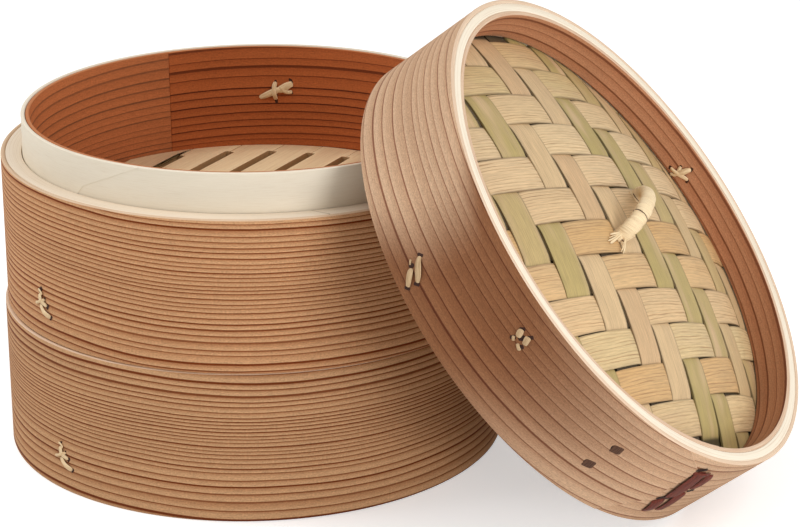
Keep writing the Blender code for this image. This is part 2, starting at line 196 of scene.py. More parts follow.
def set_face_values(piece: Piece, name: str, values: np.ndarray | float) -> None:
    """Stores a number on each face, for the finishes to read.

    Args:
        piece: The piece to mark.
        name: The attribute's name.
        values: One number for each face, or one for all.
    """
    mesh = piece.data
    layer = mesh.attributes.get(name) or mesh.attributes.new(name, "FLOAT", "FACE")
    spread = np.broadcast_to(np.asarray(values, dtype=float), (len(mesh.polygons),))
    layer.data.foreach_set("value", spread.copy())


def corner_tables(piece: Piece) -> tuple[np.ndarray, np.ndarray, np.ndarray, np.ndarray]:
    """Tables for marking a mesh corner by corner.

    Args:
        piece: The piece to read.

    Returns:
        Each corner's point, each corner's face, the face centres and the face normals.
    """
    mesh = piece.data
    corner_point = np.empty(len(mesh.loops), dtype=np.int64)
    mesh.loops.foreach_get("vertex_index", corner_point)
    counts = np.empty(len(mesh.polygons), dtype=np.int64)
    mesh.polygons.foreach_get("loop_total", counts)
    centres = np.empty(len(mesh.polygons) * 3)
    mesh.polygons.foreach_get("center", centres)
    normals = np.empty(len(mesh.polygons) * 3)
    mesh.polygons.foreach_get("normal", normals)
    corner_face = np.repeat(np.arange(len(counts)), counts)
    return corner_point, corner_face, centres.reshape(-1, 3), normals.reshape(-1, 3)


def set_grain(piece: Piece, along: np.ndarray, across: np.ndarray) -> None:
    """Writes the grain map.

    Args:
        piece: The piece to mark.
        along: Metres along the fibre for each corner.
        across: Metres across the fibre for each corner.
    """
    layers = piece.data.uv_layers
    layer = layers.get(GRAIN) or layers.new(name=GRAIN)
    layer.data.foreach_set("uv", np.stack([along, across], 1).astype(np.float32).ravel())


def lathe(name: str, profile: Sequence[Pair], steps: int = RING_STEPS) -> Piece:
    """Turns a closed outline into a ring, circle by circle.

    Args:
        name: The ring's name.
        profile: Radius and height of the outline's points, in order.
        steps: Sides of each circle.

    Returns:
        The ring, about the upright axis through the origin.
    """
    clear_choice()
    bpy.ops.mesh.primitive_circle_add(vertices=steps, radius=profile[0][0], location=(0, 0, profile[0][1]))
    ring = bpy.context.active_object
    ring.name = name
    bpy.ops.object.mode_set(mode="EDIT")
    bpy.ops.mesh.select_all(action="SELECT")
    last = profile[0]
    for radius, height in (*profile[1:], profile[0]):
        bpy.ops.mesh.extrude_region_move(TRANSFORM_OT_translate={"value": (0, 0, height - last[1])})
        share = radius / last[0]
        bpy.ops.transform.resize(value=(share, share, 1), center_override=(0, 0, 0))
        last = (radius, height)
    bpy.ops.object.mode_set(mode="OBJECT")
    settle(ring)
    mend(ring, SAWN_POINT)
    return ring


def band_outline(inner: float, outer: float, bottom: float, top: float, rows: Pair = (8, 1)) -> list[Pair]:
    """Outline of an upright band.

    Args:
        inner: Inner radius.
        outer: Outer radius.
        bottom: Height of its lower edge.
        top: Height of its upper edge.
        rows: Rows of faces on its outer and on its inner wall.

    Returns:
        Radius and height of each point, going up outside and down inside.
    """
    middle = (inner + outer) / 2
    up = [(outer, bottom + (top - bottom) * k / rows[0]) for k in range(rows[0] + 1)]
    down = [(inner, top + (bottom - top) * k / rows[1]) for k in range(rows[1] + 1)]
    return [*up, (middle, top), *down, (middle, bottom)]


def blank_grid(name: str, along: int, across: int) -> tuple[Piece, np.ndarray, np.ndarray]:
    """A flat grid, ready to be pulled into shape.

    Args:
        name: The piece's name.
        along: Faces along it.
        across: Faces across it.

    Returns:
        The piece, and for each point its share 0 to 1 along and -1 to 1 across.
    """
    clear_choice()
    bpy.ops.mesh.primitive_grid_add(x_subdivisions=along, y_subdivisions=across, size=2.0)
    piece = bpy.context.active_object
    piece.name = name
    flat = points_of(piece)
    piece.data.uv_layers[0].name = GRAIN
    return piece, (flat[:, 0] + 1) / 2, flat[:, 1]


def grain_from_grid(piece: Piece, along: np.ndarray, across: np.ndarray) -> None:
    """Marks the grain of a grid from values held for its points."""
    corner_point = corner_tables(piece)[0]
    set_grain(piece, along[corner_point], across[corner_point])


def curve_through(knots: np.ndarray, samples: int) -> np.ndarray:
    """A smooth curve through knots.

    Args:
        knots: Rows of numbers to pass through.
        samples: Rows wanted.

    Returns:
        The sampled rows, first and last knot included.
    """
    padded = np.vstack([2 * knots[0] - knots[1], knots, 2 * knots[-1] - knots[-2]])
    place = np.linspace(0, len(knots) - 1, samples)
    k = np.minimum(place.astype(int), len(knots) - 2)
    t = (place - k)[:, None]
    a, b, c, d = padded[k], padded[k + 1], padded[k + 2], padded[k + 3]
    return 0.5 * (2 * b + (c - a) * t + (2 * a - 5 * b + 4 * c - d) * t**2 + (3 * b - a - 3 * c + d) * t**3)


def on_circles(radius: np.ndarray, turn: np.ndarray, height: np.ndarray) -> np.ndarray:
    """Points at radii, angles in radians and heights."""
    return np.stack([radius * np.cos(turn), radius * np.sin(turn), height], 1)


def unit_rows(rows: np.ndarray) -> np.ndarray:
    """Rows scaled to length 1."""
    return rows / np.linalg.norm(rows, axis=1)[:, None]


def strand(
    name: str,
    path: np.ndarray,
    outward: np.ndarray,
    widths: np.ndarray,
    depth: float,
    blunt: float = 12.0,
    around: int = 10,
) -> Piece:
    """A flat rounded strand along a path, closed at both ends.

    Args:
        name: The strand's name.
        path: Its centre line, row by row.
        outward: The direction that its flat side faces, for each row.
        widths: Half its width, for each row.
        depth: Half its thickness.
        blunt: How square its ends are.
        around: Sides of its section.

    Returns:
        The strand, with its grain marked.
    """
    piece, u, v = blank_grid(name, len(path) - 1, around)
    row = np.rint(u * (len(path) - 1)).astype(int)
    tangent = unit_rows(np.gradient(path, axis=0))
    side = unit_rows(np.cross(tangent, outward))
    lift = np.cross(side, tangent)
    taper = np.sqrt(np.clip(1 - np.abs(2 * u - 1) ** blunt, 0, 1))
    turn = math.pi * v
    wide = (widths[row] * taper * np.cos(turn))[:, None] * side[row]
    thick = (depth * taper * np.sin(turn))[:, None] * lift[row]
    length = np.concatenate([[0], np.cumsum(np.linalg.norm(np.diff(path, axis=0), axis=1))])
    grain_from_grid(piece, length[row], widths[row] * np.cos(turn))
    set_points(piece, path[row] + wide + thick)
    mend(piece)
    return piece


# ---------------------------------------------------------------- shader maths


class Wire:
    """A value socket that takes part in shader maths."""

    def __init__(self, bench: "NodeBench", socket: bpy.types.NodeSocket) -> None:
        """Keeps the socket and the bench that it belongs to."""
        self.bench = bench
        self.socket = socket

    def _maths(self, operation: str, first: object, second: object) -> "Wire":
        """Adds a Math node."""
        return self.bench.wire("ShaderNodeMath", {"operation": operation}, {0: first, 1: second})

    def __add__(self, other: object) -> "Wire":
        """Sum."""
        return self._maths("ADD", self, other)

    __radd__ = __add__

    def __sub__(self, other: object) -> "Wire":
        """Difference."""
        return self._maths("SUBTRACT", self, other)

    def __rsub__(self, other: object) -> "Wire":
        """Difference, with this wire taken away."""
        return self._maths("SUBTRACT", other, self)

    def __mul__(self, other: object) -> "Wire":
        """Product."""
        return self._maths("MULTIPLY", self, other)

    __rmul__ = __mul__

    def __truediv__(self, other: object) -> "Wire":
        """Quotient."""
        return self._maths("DIVIDE", self, other)

    def apply(self, operation: str, other: float = 0.0) -> "Wire":
        """Another Math operation on this wire."""
        return self._maths(operation, self, other)


class NodeBench:
    """The nodes of one material or of the world, added by type, settings and sockets."""

    def __init__(self, owner: bpy.types.Material | bpy.types.World) -> None:
        """Empties the owner's nodes, to start afresh."""
        self.material = owner
        self.material.use_nodes = True
        self.tree = self.material.node_tree
        self.tree.nodes.clear()

    def node(self, kind: str, settings: dict | None = None, sockets: dict | None = None) -> bpy.types.Node:
        """Adds a node.

        Args:
            kind: The node's type.
            settings: Its properties, set first.
            sockets: The value, wire or socket for each of its inputs.

        Returns:
            The node.
        """
        made = self.tree.nodes.new(kind)
        for key, value in (settings or {}).items():
            setattr(made, key, value)
        for key, value in (sockets or {}).items():
            source = value.socket if isinstance(value, Wire) else value
            if isinstance(source, bpy.types.NodeSocket):
                self.tree.links.new(source, made.inputs[key])
            else:
                made.inputs[key].default_value = source
        return made

    def wire(self, kind: str, settings: dict | None = None, sockets: dict | None = None,
             out: int = 0) -> Wire:
        """Adds a node and gives one of its outputs."""
        return Wire(self, self.node(kind, settings, sockets).outputs[out])

    def grain(self) -> tuple[Wire, Wire]:
        """Millimetres along the fibre and across it."""
        uv = self.node("ShaderNodeUVMap", {"uv_map": GRAIN})
        split = self.node("ShaderNodeSeparateXYZ", None, {0: uv.outputs[0]})
        return Wire(self, split.outputs[0]) * 1000, Wire(self, split.outputs[1]) * 1000

    def face_value(self, name: str) -> Wire:
        """The number stored on each face under a name."""
        return self.wire("ShaderNodeAttribute", {"attribute_name": name}, None, 2)

    def vector(self, x: object, y: object, z: object = 0.0) -> Wire:
        """Three values as one vector."""
        return self.wire("ShaderNodeCombineXYZ", None, {0: x, 1: y, 2: z})

    def noise(self, place: tuple, detail: float = 2.0, rough: float = 0.5) -> Wire:
        """Smooth noise from 0 to 1, about one wave for each 1 of the place."""
        sockets = {"Vector": self.vector(*place), "Scale": 1.0, "Detail": detail, "Roughness": rough}
        return self.wire("ShaderNodeTexNoise", None, sockets)

    def chance(self, value: Wire) -> Wire:
        """A random number from 0 to 1 for each value."""
        return self.wire("ShaderNodeTexWhiteNoise", {"noise_dimensions": "1D"}, {"W": value})

    def step(self, value: object, low: float, high: float, top: float = 1.0) -> Wire:
        """Rises smoothly from 0 to a top between two values."""
        sockets = {0: value, 1: low, 2: high, 3: 0.0, 4: top}
        return self.wire("ShaderNodeMapRange", {"interpolation_type": "SMOOTHSTEP"}, sockets)

    def mix(self, share: object, first: object, second: object) -> Wire:
        """Mixes two colours."""
        sockets = {0: share, 6: self.opaque(first), 7: self.opaque(second)}
        return self.wire("ShaderNodeMix", {"data_type": "RGBA", "clamp_factor": True}, sockets, 2)

    def shade(self, colour: object, amount: Wire) -> Wire:
        """Scales a colour by a wire."""
        return self.wire("ShaderNodeVectorMath", {"operation": "SCALE"}, {0: colour, 3: amount})

    @staticmethod
    def opaque(colour: object) -> object:
        """Gives a plain colour its alpha."""
        return (*colour, 1.0) if isinstance(colour, tuple) else colour

    def surface(self, colour: object, roughness: object, relief: Wire | None = None, depth: float = 0.0,
                coat: float = 0.0, specular: float = 0.5) -> bpy.types.Material:
        """Finishes the material.

        Args:
            colour: Base colour, a wire or a plain one.
            roughness: Roughness, a wire or a number.
            relief: Height from 0 to 1 for the bump.
            depth: Depth of the relief in metres.
            coat: Weight of the clear coat.
            specular: Specular level.

        Returns:
            The material.
        """
        sockets = {
            "Base Color": self.opaque(colour),
            "Roughness": roughness,
            "Coat Weight": coat,
            "Specular IOR Level": specular,
        }
        if relief is not None:
            bump = self.node("ShaderNodeBump", None, {"Strength": 1.0, "Distance": depth, "Height": relief})
            sockets["Normal"] = bump.outputs["Normal"]
        shader = self.node("ShaderNodeBsdfPrincipled", None, sockets)
        self.node("ShaderNodeOutputMaterial", None, {0: shader.outputs[0]})
        return self.material


# ---------------------------------------------------------------- finishes


@dataclass(frozen=True)
class GrowthLines:
    """How a veneer's growth lines lie across its width.

    Attributes:
        spacing_mm: Distance between lines far from the crowded part.
        crowd: Lines added in the crowded part, half on each side.
        crowd_at_mm: Height of the crowded part.
        crowd_reach_mm: Half its width.
        slope: Rise of the lines per length along the hoop.
        bend_mm: How far they bend as they pass bend_at.
        bend_at_mm: Where along the hoop they bend.
        sway_mm: How far they wander.
        seed: Tells one veneer from another.
    """

    spacing_mm: float
    crowd: float = 0.0
    crowd_at_mm: float = 0.0
    crowd_reach_mm: float = 10.0
    slope: float = 0.0
    bend_mm: float = 0.0
    bend_at_mm: float = 0.0
    sway_mm: float = 1.2
    seed: float = 0.0


@dataclass(frozen=True)
class Cedar:
    """Cedar veneer with pale early wood between dark growth lines.

    Attributes:
        name: The material's name.
        early: Colour of the wood just above a line.
        late: Colour of the wood as it nears the next line.
        line: Colour of the line itself.
        edge: Colour of a sawn edge.
        lines: How the lines lie.
        line_share: Share of each ring that the dark line takes.
        roughness: Roughness of the planed face.
        dark_band: Where a darker band fades in and out along the hoop, in millimetres.
        dark_band_tint: How much the darker band takes off each colour.
        pale_end: How much paler the end past the joint is.
    """

    name: str
    early: Colour
    late: Colour
    line: Colour
    edge: Colour
    lines: GrowthLines
    line_share: float = 0.20
    roughness: float = 0.68
    dark_band: tuple[float, float, float, float] | None = None
    dark_band_tint: Colour = (0.52, 0.36, 0.27)
    pale_end: float = 0.0

    def material(self) -> bpy.types.Material:
        """Builds the material.

        Returns:
            The material.
        """
        bench = NodeBench(bpy.data.materials.new(self.name))
        along, across = bench.grain()
        plan = self.lines
        sway = bench.noise((along * 0.011, across * 0.03, plan.seed), 1.0) - 0.5
        fine_sway = bench.noise((along * 0.06, across * 0.2, plan.seed + 5), 1.0) - 0.5
        bend = ((along - plan.bend_at_mm) / 24.0).apply("TANH") * plan.bend_mm
        height = across - along * plan.slope + bend + sway * (2 * plan.sway_mm) + fine_sway * 0.35
        crowd = ((height - plan.crowd_at_mm) / plan.crowd_reach_mm).apply("TANH") * plan.crowd
        uneven = bench.noise((0.0, height * 0.21, plan.seed + 11), 1.0) * 1.1
        count = height / plan.spacing_mm + crowd + uneven + 40.0
        if self.pale_end:
            past = 1.0 - bench.step(along, *PALE_FADE_MM)
            count = count + past * 0.5
        part = count.apply("FRACT")
        luck = bench.chance(count.apply("FLOOR") + plan.seed)
        start = 0.97 - self.line_share - luck * 0.07
        into_line = ((part - start) / LINE_RISE).apply("MAXIMUM", 0.0).apply("MINIMUM", 1.0)
        out_of_line = bench.step(part, LINE_FALL, 1.0)
        line = into_line * (1.0 - out_of_line) * (0.60 + luck * 0.40)
        late = bench.step(part, 0.12, 0.98) * (1.0 - out_of_line) * (0.70 + luck * 0.30)
        fibre = bench.noise((along * 0.28, across * 2.4, plan.seed), 3.0, 0.65)
        speck = bench.noise((along * 1.2, across * 1.9, plan.seed + 3), 2.0, 0.7)
        patch = bench.noise((along * 0.012, across * 0.05, plan.seed + 7), 2.0)
        wood = bench.mix(late, self.early, self.late)
        wood = bench.mix(line, wood, self.line)
        if self.pale_end:
            wood = bench.mix(past * self.pale_end, wood, self.edge)
        # Darker along part of the hoop.
        if self.dark_band:
            rise, full, fade, end = self.dark_band
            share = bench.step(along, rise, full) * (1.0 - bench.step(along, fade, end))
            tinted = {0: wood, 1: self.dark_band_tint}
            dark = bench.wire("ShaderNodeVectorMath", {"operation": "MULTIPLY"}, tinted)
            wood = bench.mix(share, wood, dark)
        worn = 1.0 + (fibre - 0.5) * 0.75 + (speck - 0.5) * 0.95 + (patch - 0.5) * 0.22
        wood = bench.shade(wood, worn)
        layers = bench.noise((along * 0.05, across * 3.0, plan.seed + 9), 2.0)
        edge = bench.shade(bench.mix(layers, self.edge, self.early), 0.86 + speck * 0.24)
        cut = bench.face_value(CUT)
        colour = bench.mix(cut, wood, edge)
        relief = 0.6 - line * 0.5 + fibre * 0.25 + speck * 0.15
        return bench.surface(colour, self.roughness - line * 0.08 + speck * 0.08, relief, 0.00005, 0.0, 0.12)


@dataclass(frozen=True)
class PaleWood:
    """Cream wood with quiet fibre and layer lines on its sawn edges.

    Attributes:
        name: The material's name.
        face: Colour of the planed face.
        fibre: Colour of its darker fibres.
        edge: Colour of a sawn edge.
        scarf: Whether the ends meet in a fine dark line.
    """

    name: str
    face: Colour
    fibre: Colour
    edge: Colour
    scarf: bool = False

    def material(self) -> bpy.types.Material:
        """Builds the material.

        Returns:
            The material.
        """
        bench = NodeBench(bpy.data.materials.new(self.name))
        along, across = bench.grain()
        streak = bench.noise((along * 0.10, across * 3.0), 3.0, 0.6)
        fleck = bench.noise((along * 0.45, across * 6.0, 4.0), 2.0, 0.6)
        patch = bench.noise((along * 0.02, across * 0.08, 2.0), 2.0)
        wood = bench.mix(bench.step(streak, 0.42, 0.82, 0.7), self.face, self.fibre)
        wood = bench.shade(wood, 0.93 + fleck * 0.08 + (patch - 0.5) * 0.10)
        rings = bench.noise((along * 0.015, across * 2.6, 6.0), 3.0, 0.6)
        edge = bench.mix(bench.step(rings, 0.45, 0.70, 0.80), self.edge, self.fibre)
        edge = bench.shade(edge, 0.93 + fleck * 0.10)
        cut = bench.face_value(CUT)
        colour = bench.mix(cut, wood, edge)
        if self.scarf:
            reach = (along - (across - SCARF_AT_MM) * SCARF_LEAN).apply("ABSOLUTE")
            seam = (1.0 - bench.step(reach, *SCARF_HALF_MM)) * cut
            colour = bench.mix(seam * 0.8, colour, (0.30, 0.19, 0.11))
        relief = streak * 0.5 + fleck * 0.5
        return bench.surface(colour, 0.5 + fleck * 0.12, relief, 0.00006)


@dataclass(frozen=True)
class BambooSlat:
    """Split bamboo, planed flat, with short dark pores and brown sawn sides.

    Attributes:
        name: The material's name.
        face: Colour of the planed face.
        fibre: Colour of its fibres.
        side: Colour of its sawn sides.
    """

    name: str
    face: Colour
    fibre: Colour
    side: Colour

    def material(self) -> bpy.types.Material:
        """Builds the material.

        Returns:
            The material.
        """
        bench = NodeBench(bpy.data.materials.new(self.name))
        along, across = bench.grain()
        seed = bench.face_value(SEED)
        streak = bench.noise((along * 0.05, across * 1.3, seed * 9), 3.0, 0.6)
        fibre = bench.noise((along * 0.22, across * 9.0, seed * 9), 2.0, 0.6)
        pores = bench.noise((along * 0.5, across * 14.0, seed * 5), 1.0)
        wood = bench.mix(bench.step(streak, 0.38, 0.78, 0.75), self.face, self.fibre)
        wood = bench.mix(bench.step(pores, 0.62, 0.78, 0.35), wood, self.side)
        wood = bench.shade(wood, 0.86 + fibre * 0.16 + seed * 0.12)
        side = bench.shade(self.side, 0.75 + fibre * 0.45)
        colour = bench.mix(bench.face_value(CUT), wood, side)
        return bench.surface(colour, 0.46 + streak * 0.12, fibre * 0.6 + pores * 0.4, 0.00008)


@dataclass(frozen=True)
class WovenBamboo:
    """Split bamboo strip: straw with lengthwise lines, some of it still green, with painted shade at its
    edges and where it runs under another.

    Attributes:
        name: The material's name.
        straw: Colour of a light strip.
        warm: Colour of a darker, warmer strip.
        groove: Colour of the lines along the strip.
        green: Colour where green skin is left.
        line_mm: Distance between the lines.
        line_depth: How strong the lines are.
        roughness: Roughness of the strip.
        half_mm: Half the width of the strip.
    """

    name: str
    straw: Colour
    warm: Colour
    groove: Colour
    green: Colour
    line_mm: float
    line_depth: float
    roughness: float
    half_mm: float

    def material(self) -> bpy.types.Material:
        """Builds the material.

        Returns:
            The material.
        """
        bench = NodeBench(bpy.data.materials.new(self.name))
        along, across = bench.grain()
        seed = bench.face_value(SEED)
        tone = bench.face_value(TONE)
        drift = bench.noise((along * 0.035, across * 0.25, seed * 31), 2.0)
        count = (across + drift * 2.4) / self.line_mm + seed * 17
        part = (count.apply("FRACT") - 0.5).apply("ABSOLUTE") * 2
        luck = bench.chance(count.apply("FLOOR"))
        broken = bench.noise((along * 0.08, across * 0.9, seed * 13 + 4), 1.0)
        line = bench.step(part, 0.50, 0.98) * (0.12 + luck * luck * 0.88) * bench.step(broken, 0.20, 0.55)
        fibre = bench.noise((along * 0.12, across * 2.6, seed * 23), 3.0, 0.7)
        patch = bench.noise((along * 0.022, across * 0.10, seed * 41), 2.0)
        strip = bench.mix(tone * (0.55 + patch * 0.7), self.straw, self.warm)
        skin = bench.face_value(GREEN) * bench.step(patch + (fibre - 0.5) * 0.25, 0.28, 0.52)
        strip = bench.mix(skin, strip, self.green)
        strip = bench.mix(line * self.line_depth, strip, self.groove)
        # Painted shade: each strip darkens towards its edges.
        painted_edge_shade = bench.step(across.apply("ABSOLUTE"), self.half_mm * 0.88, self.half_mm * 1.01, 0.42)
        # Painted shade: the strip darkens where it runs under a crossing strip.
        painted_under_shade = 1.0 - bench.step(bench.face_value(UNDER_SHADE_MARK), 0.05, 0.75, 0.84)
        strip = bench.shade(strip, (1.0 + (fibre - 0.5) * 0.95 + (patch - 0.5) * 0.30) * (1.0 - painted_edge_shade) * painted_under_shade)
        relief = 0.6 - line * 0.5 + fibre * 0.35
        return bench.surface(strip, self.roughness + fibre * 0.14, relief, 0.00012, 0.0, 0.3)


@dataclass(frozen=True)
class Cane:
    """Split cane for lacing, with the painted shade of its holes.

    Attributes:
        name: The material's name.
        face: Colour of the cane.
        fibre: Colour of its lines.
        hole_shade: Colour of the holes that it goes into: painted shade.
        roughness: Roughness of the cane.
        coat: Weight of its natural gloss.
        specular: Strength of its reflections.
    """

    name: str
    face: Colour
    fibre: Colour
    hole_shade: Colour
    roughness: float = 0.5
    coat: float = 0.0
    specular: float = 0.2

    def material(self) -> bpy.types.Material:
        """Builds the material.

        Returns:
            The material.
        """
        bench = NodeBench(bpy.data.materials.new(self.name))
        along, across = bench.grain()
        seed = bench.face_value(SEED)
        line = bench.noise((along * 0.18, across * 4.5, seed * 19), 3.0, 0.6)
        patch = bench.noise((along * 0.12, across * 0.4, seed * 7), 2.0)
        strip = bench.mix(bench.step(line, 0.36, 0.68), self.face, self.fibre)
        strip = bench.shade(strip, 0.84 + patch * 0.32)
        # Faces marked CUT are flat dark holes: painted shade.
        colour = bench.mix(bench.face_value(CUT), strip, self.hole_shade)
        return bench.surface(colour, self.roughness + line * 0.12, line, 0.00012, self.coat, self.specular)


class Finish(Enum):
    """Every finish of the set."""

    UPPER_WALL = Cedar(
        "upper_cedar",
        (0.565, 0.308, 0.152), (0.325, 0.110, 0.034), (0.150, 0.026, 0.003), (0.80, 0.67, 0.51),
        GrowthLines(3.6, 5.4, 38.0, 18.0, 0.0, 1.3, 414.7, 1.0, 1.0))
    # The lower tier's sawn-edge colour is the end grain's own, made brighter as a painted highlight on its
    # top chamfer at the tier seam.
    LOWER_WALL = Cedar(
        "lower_cedar",
        (0.530, 0.300, 0.152), (0.295, 0.107, 0.035), (0.135, 0.024, 0.003), (0.88, 0.70, 0.56),
        GrowthLines(3.7, 5.2, 37.0, 13.0, 0.0, 1.0, 444.7, 1.0, 23.0))
    LID_WALL = Cedar(
        "lid_cedar",
        (0.62, 0.405, 0.255), (0.49, 0.285, 0.165), (0.23, 0.088, 0.045), (0.84, 0.68, 0.52),
        GrowthLines(5.3, 0.9, 18.0, 8.0, 0.034, 0.0, 0.0, 0.8, 47.0), 0.085,
        dark_band=(495.0, 533.0, 559.0, 668.0), dark_band_tint=(0.40, 0.255, 0.175))
    LINER = Cedar(
        "liner_cedar",
        (0.44, 0.118, 0.034), (0.32, 0.074, 0.019), (0.085, 0.016, 0.005), (0.60, 0.27, 0.12),
        GrowthLines(4.7, 2.8, 38.0, 18.0, -0.016, 0.0, 0.0, 0.5, 61.0), 0.15, 0.62, pale_end=0.22)
    LID_LINER = Cedar(
        "lid_liner_cedar",
        (0.49, 0.230, 0.120), (0.40, 0.165, 0.078), (0.17, 0.052, 0.023), (0.84, 0.70, 0.52),
        GrowthLines(4.6, 0.0, 38.0, 18.0, -0.008, 0.0, 0.0, 0.6, 83.0), 0.12, 0.6)
    LIP = PaleWood("lip_wood", (0.77, 0.685, 0.545), (0.69, 0.58, 0.43), (0.86, 0.76, 0.61))
    CORE = PaleWood("core_wood", (0.78, 0.66, 0.49), (0.70, 0.55, 0.38), (0.84, 0.71, 0.56), True)
    LID_CORE = PaleWood("lid_core_wood", (0.84, 0.73, 0.56), (0.72, 0.56, 0.40), (0.90, 0.80, 0.64))
    SLAT = BambooSlat("slat_bamboo", (0.93, 0.70, 0.415), (0.78, 0.53, 0.28), (0.46, 0.26, 0.11))
    WEFT = WovenBamboo(
        "weft_bamboo", (0.67, 0.487, 0.285), (0.57, 0.345, 0.145), (0.33, 0.175, 0.075), (0.50, 0.40, 0.17),
        1.3, 0.95, 0.50, 7.3)
    WARP = WovenBamboo(
        "warp_bamboo", (0.635, 0.452, 0.254), (0.56, 0.355, 0.19), (0.38, 0.24, 0.11), (0.40, 0.31, 0.110),
        0.95, 0.70, 0.42, 7.1)
    CANE = Cane("stitch_cane", (0.84, 0.65, 0.40), (0.60, 0.40, 0.21), (0.05, 0.018, 0.009))
    # A darker copy of the stitch cane for the lid's outer stitches: painted shade.
    LID_CANE = Cane("lid_stitch_cane", (0.60, 0.42, 0.24), (0.38, 0.235, 0.115), (0.04, 0.014, 0.008))
    WRAP = Cane("handle_cane", (0.91, 0.74, 0.48), (0.70, 0.50, 0.28), (0.10, 0.045, 0.02), 0.46)
    BARK = Cane(
        "cherry_bark", (0.190, 0.034, 0.018), (0.070, 0.014, 0.008), (0.025, 0.008, 0.005), 0.40, 0.05)
    PEG = Cane(
        "bark_peg", (0.130, 0.060, 0.033), (0.034, 0.013, 0.008), (0.014, 0.005, 0.003), 0.55)
    # A dark sheet between the lid's weaves: painted shade for the gaps between strips.
    LINING = Cane("leaf_lining", (0.17, 0.070, 0.032), (0.10, 0.040, 0.018), (0.02, 0.01, 0.006), 0.8)


MATERIALS: dict[Finish, bpy.types.Material] = {}


def dress(piece: Piece, finish: Finish) -> None:
    """Gives a piece its finish.

    Args:
        piece: The piece to finish.
        finish: Which finish.
    """
    if finish not in MATERIALS:
        MATERIALS[finish] = finish.value.material()
    for name in (CUT, TONE, GREEN, SEED):
        if piece.data.attributes.get(name) is None:
            set_face_values(piece, name, 0.0)
    piece.data.materials.clear()
    piece.data.materials.append(MATERIALS[finish])


def install(piece: Piece, place: Matrix, body: str, nodes: Sequence[str], finish: Finish) -> Piece:
    """Finishes a piece, puts it in its place and hands it to its body.

    Args:
        piece: The piece, modelled about its sub-assembly's axis.
        place: The sub-assembly's place in the row frame.
        body: The body that it rides on.
        nodes: The CAD nodes that it stands for.
        finish: Its finish.

    Returns:
        The piece.
    """
    dress(piece, finish)
    settle(piece)
    piece.data.transform(place)
    piece.data.update()
    piece.name = piece.name.split(".")[0] + "_look"
    piece.data.name = piece.name
    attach(piece, body)
    if nodes:
        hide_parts(*nodes)
    LOG.info("%s: %d faces, rides on %s", piece.name, len(piece.data.polygons), body)
    return piece


# ---------------------------------------------------------------- bands


@dataclass(frozen=True)
class Lap:
    """Where the two ends of a bent band meet.

    Attributes:
        turns: Height and angle of the points that the joint passes through.
        step: How far one end stands over the other.
        thins_over: Angle over which that end thins out.
        over_before: Whether the end before the joint lies on top.
        inward: Whether the step is on the inner wall.
    """

    turns: tuple[Pair, ...]
    step: float = 0.0
    thins_over: float = 50.0
    over_before: bool = True
    inward: bool = False

    def angle(self, height: np.ndarray) -> np.ndarray:
        """The joint's angle at each height, in radians."""
        heights, turns = zip(*sorted(self.turns))
        return np.radians(np.interp(height, heights, turns))


@dataclass(frozen=True)
class Band:
    """A bent wooden band.

    Attributes:
        name: The piece's name.
        inner: Inner radius.
        outer: Outer radius.
        bottom: Height of its lower edge.
        top: Height of its upper edge.
        lap: Where its ends meet.
        rounding: Rounding of its edges.
        rows: Rows of faces on the outer and the inner wall.
        sway: How far the wall strays from a true circle.
        seed: Tells one band's unevenness from another's.
    """

    name: str
    inner: float
    outer: float
    bottom: float
    top: float
    lap: Lap
    rounding: float = 0.0004
    rows: tuple[int, int] = (10, 1)
    sway: float = 0.00008
    seed: int = 0

    def outline(self) -> list[Pair]:
        """The band's outline."""
        return band_outline(self.inner, self.outer, self.bottom, self.top, self.rows)

    def build(self) -> Piece:
        """Turns the band, lays its ends over each other and marks its grain.

        Returns:
            The band, about the upright axis.
        """
        piece = lathe(self.name, self.outline())
        ease_edges(piece, self.rounding, 3)
        points = points_of(piece)
        radius = np.hypot(points[:, 0], points[:, 1])
        turn = np.mod(np.arctan2(points[:, 1], points[:, 0]), TURN)
        column = np.mod(np.rint(turn / (TURN) * RING_STEPS), RING_STEPS)
        last = column == RING_STEPS - 1
        spread = np.where(last, TURN - JOINT_GAP, column / RING_STEPS * TURN)
        radius = radius + self._unevenness(spread, points[:, 2])
        radius = radius + self._overlap(spread, radius)
        turn = spread + self.lap.angle(points[:, 2])
        set_points(piece, on_circles(radius, turn, points[:, 2]))
        self.mark(piece)
        smooth(piece)
        return piece

    def _unevenness(self, turn: np.ndarray, height: np.ndarray) -> np.ndarray:
        """How far the wall strays at each point, the same at both ends."""
        rng = random.Random(self.seed)
        total = np.zeros_like(turn)
        for waves in (2, 3, 5, 9, 14):
            phase, tilt = rng.uniform(0, LAST_PHASE), rng.uniform(-30, 30)
            total = total + np.sin(waves * turn + phase + tilt * height) / waves**0.7
        return total * self.sway

    def _overlap(self, turn: np.ndarray, radius: np.ndarray) -> np.ndarray:
        """How far the lapped end stands out at each point."""
        away = np.degrees(TURN - turn if self.lap.over_before else turn)
        share = np.clip(1 - away / self.lap.thins_over, 0, 1)
        middle = (self.inner + self.outer) / 2
        near = radius < middle if self.lap.inward else radius > middle
        sign = -1 if self.lap.inward else 1
        return sign * self.lap.step * share**0.6 * near

    def mark(self, piece: Piece) -> None:
        """Marks the grain and the sawn edges.

        Args:
            piece: The band in its own frame.
        """
        points = points_of(piece)
        corner_point, corner_face, centres, normals = corner_tables(piece)
        start = self.lap.angle(points[:, 2])
        middle = np.mod(np.arctan2(centres[:, 1], centres[:, 0]) - self.lap.angle(centres[:, 2]), TURN)
        turn = np.arctan2(points[:, 1], points[:, 0]) - start
        offset = np.mod(turn[corner_point] - middle[corner_face] + math.pi, TURN) - math.pi
        along = (middle[corner_face] + offset) * self.outer
        sawn = (normals[:, 2] > SAWN_UP) | (normals[:, 2] < SAWN_DOWN)
        radius = np.hypot(points[:, 0], points[:, 1])
        across = np.where(sawn[corner_face], radius[corner_point], points[corner_point, 2])
        set_grain(piece, along, across)
        set_face_values(piece, CUT, sawn.astype(float))


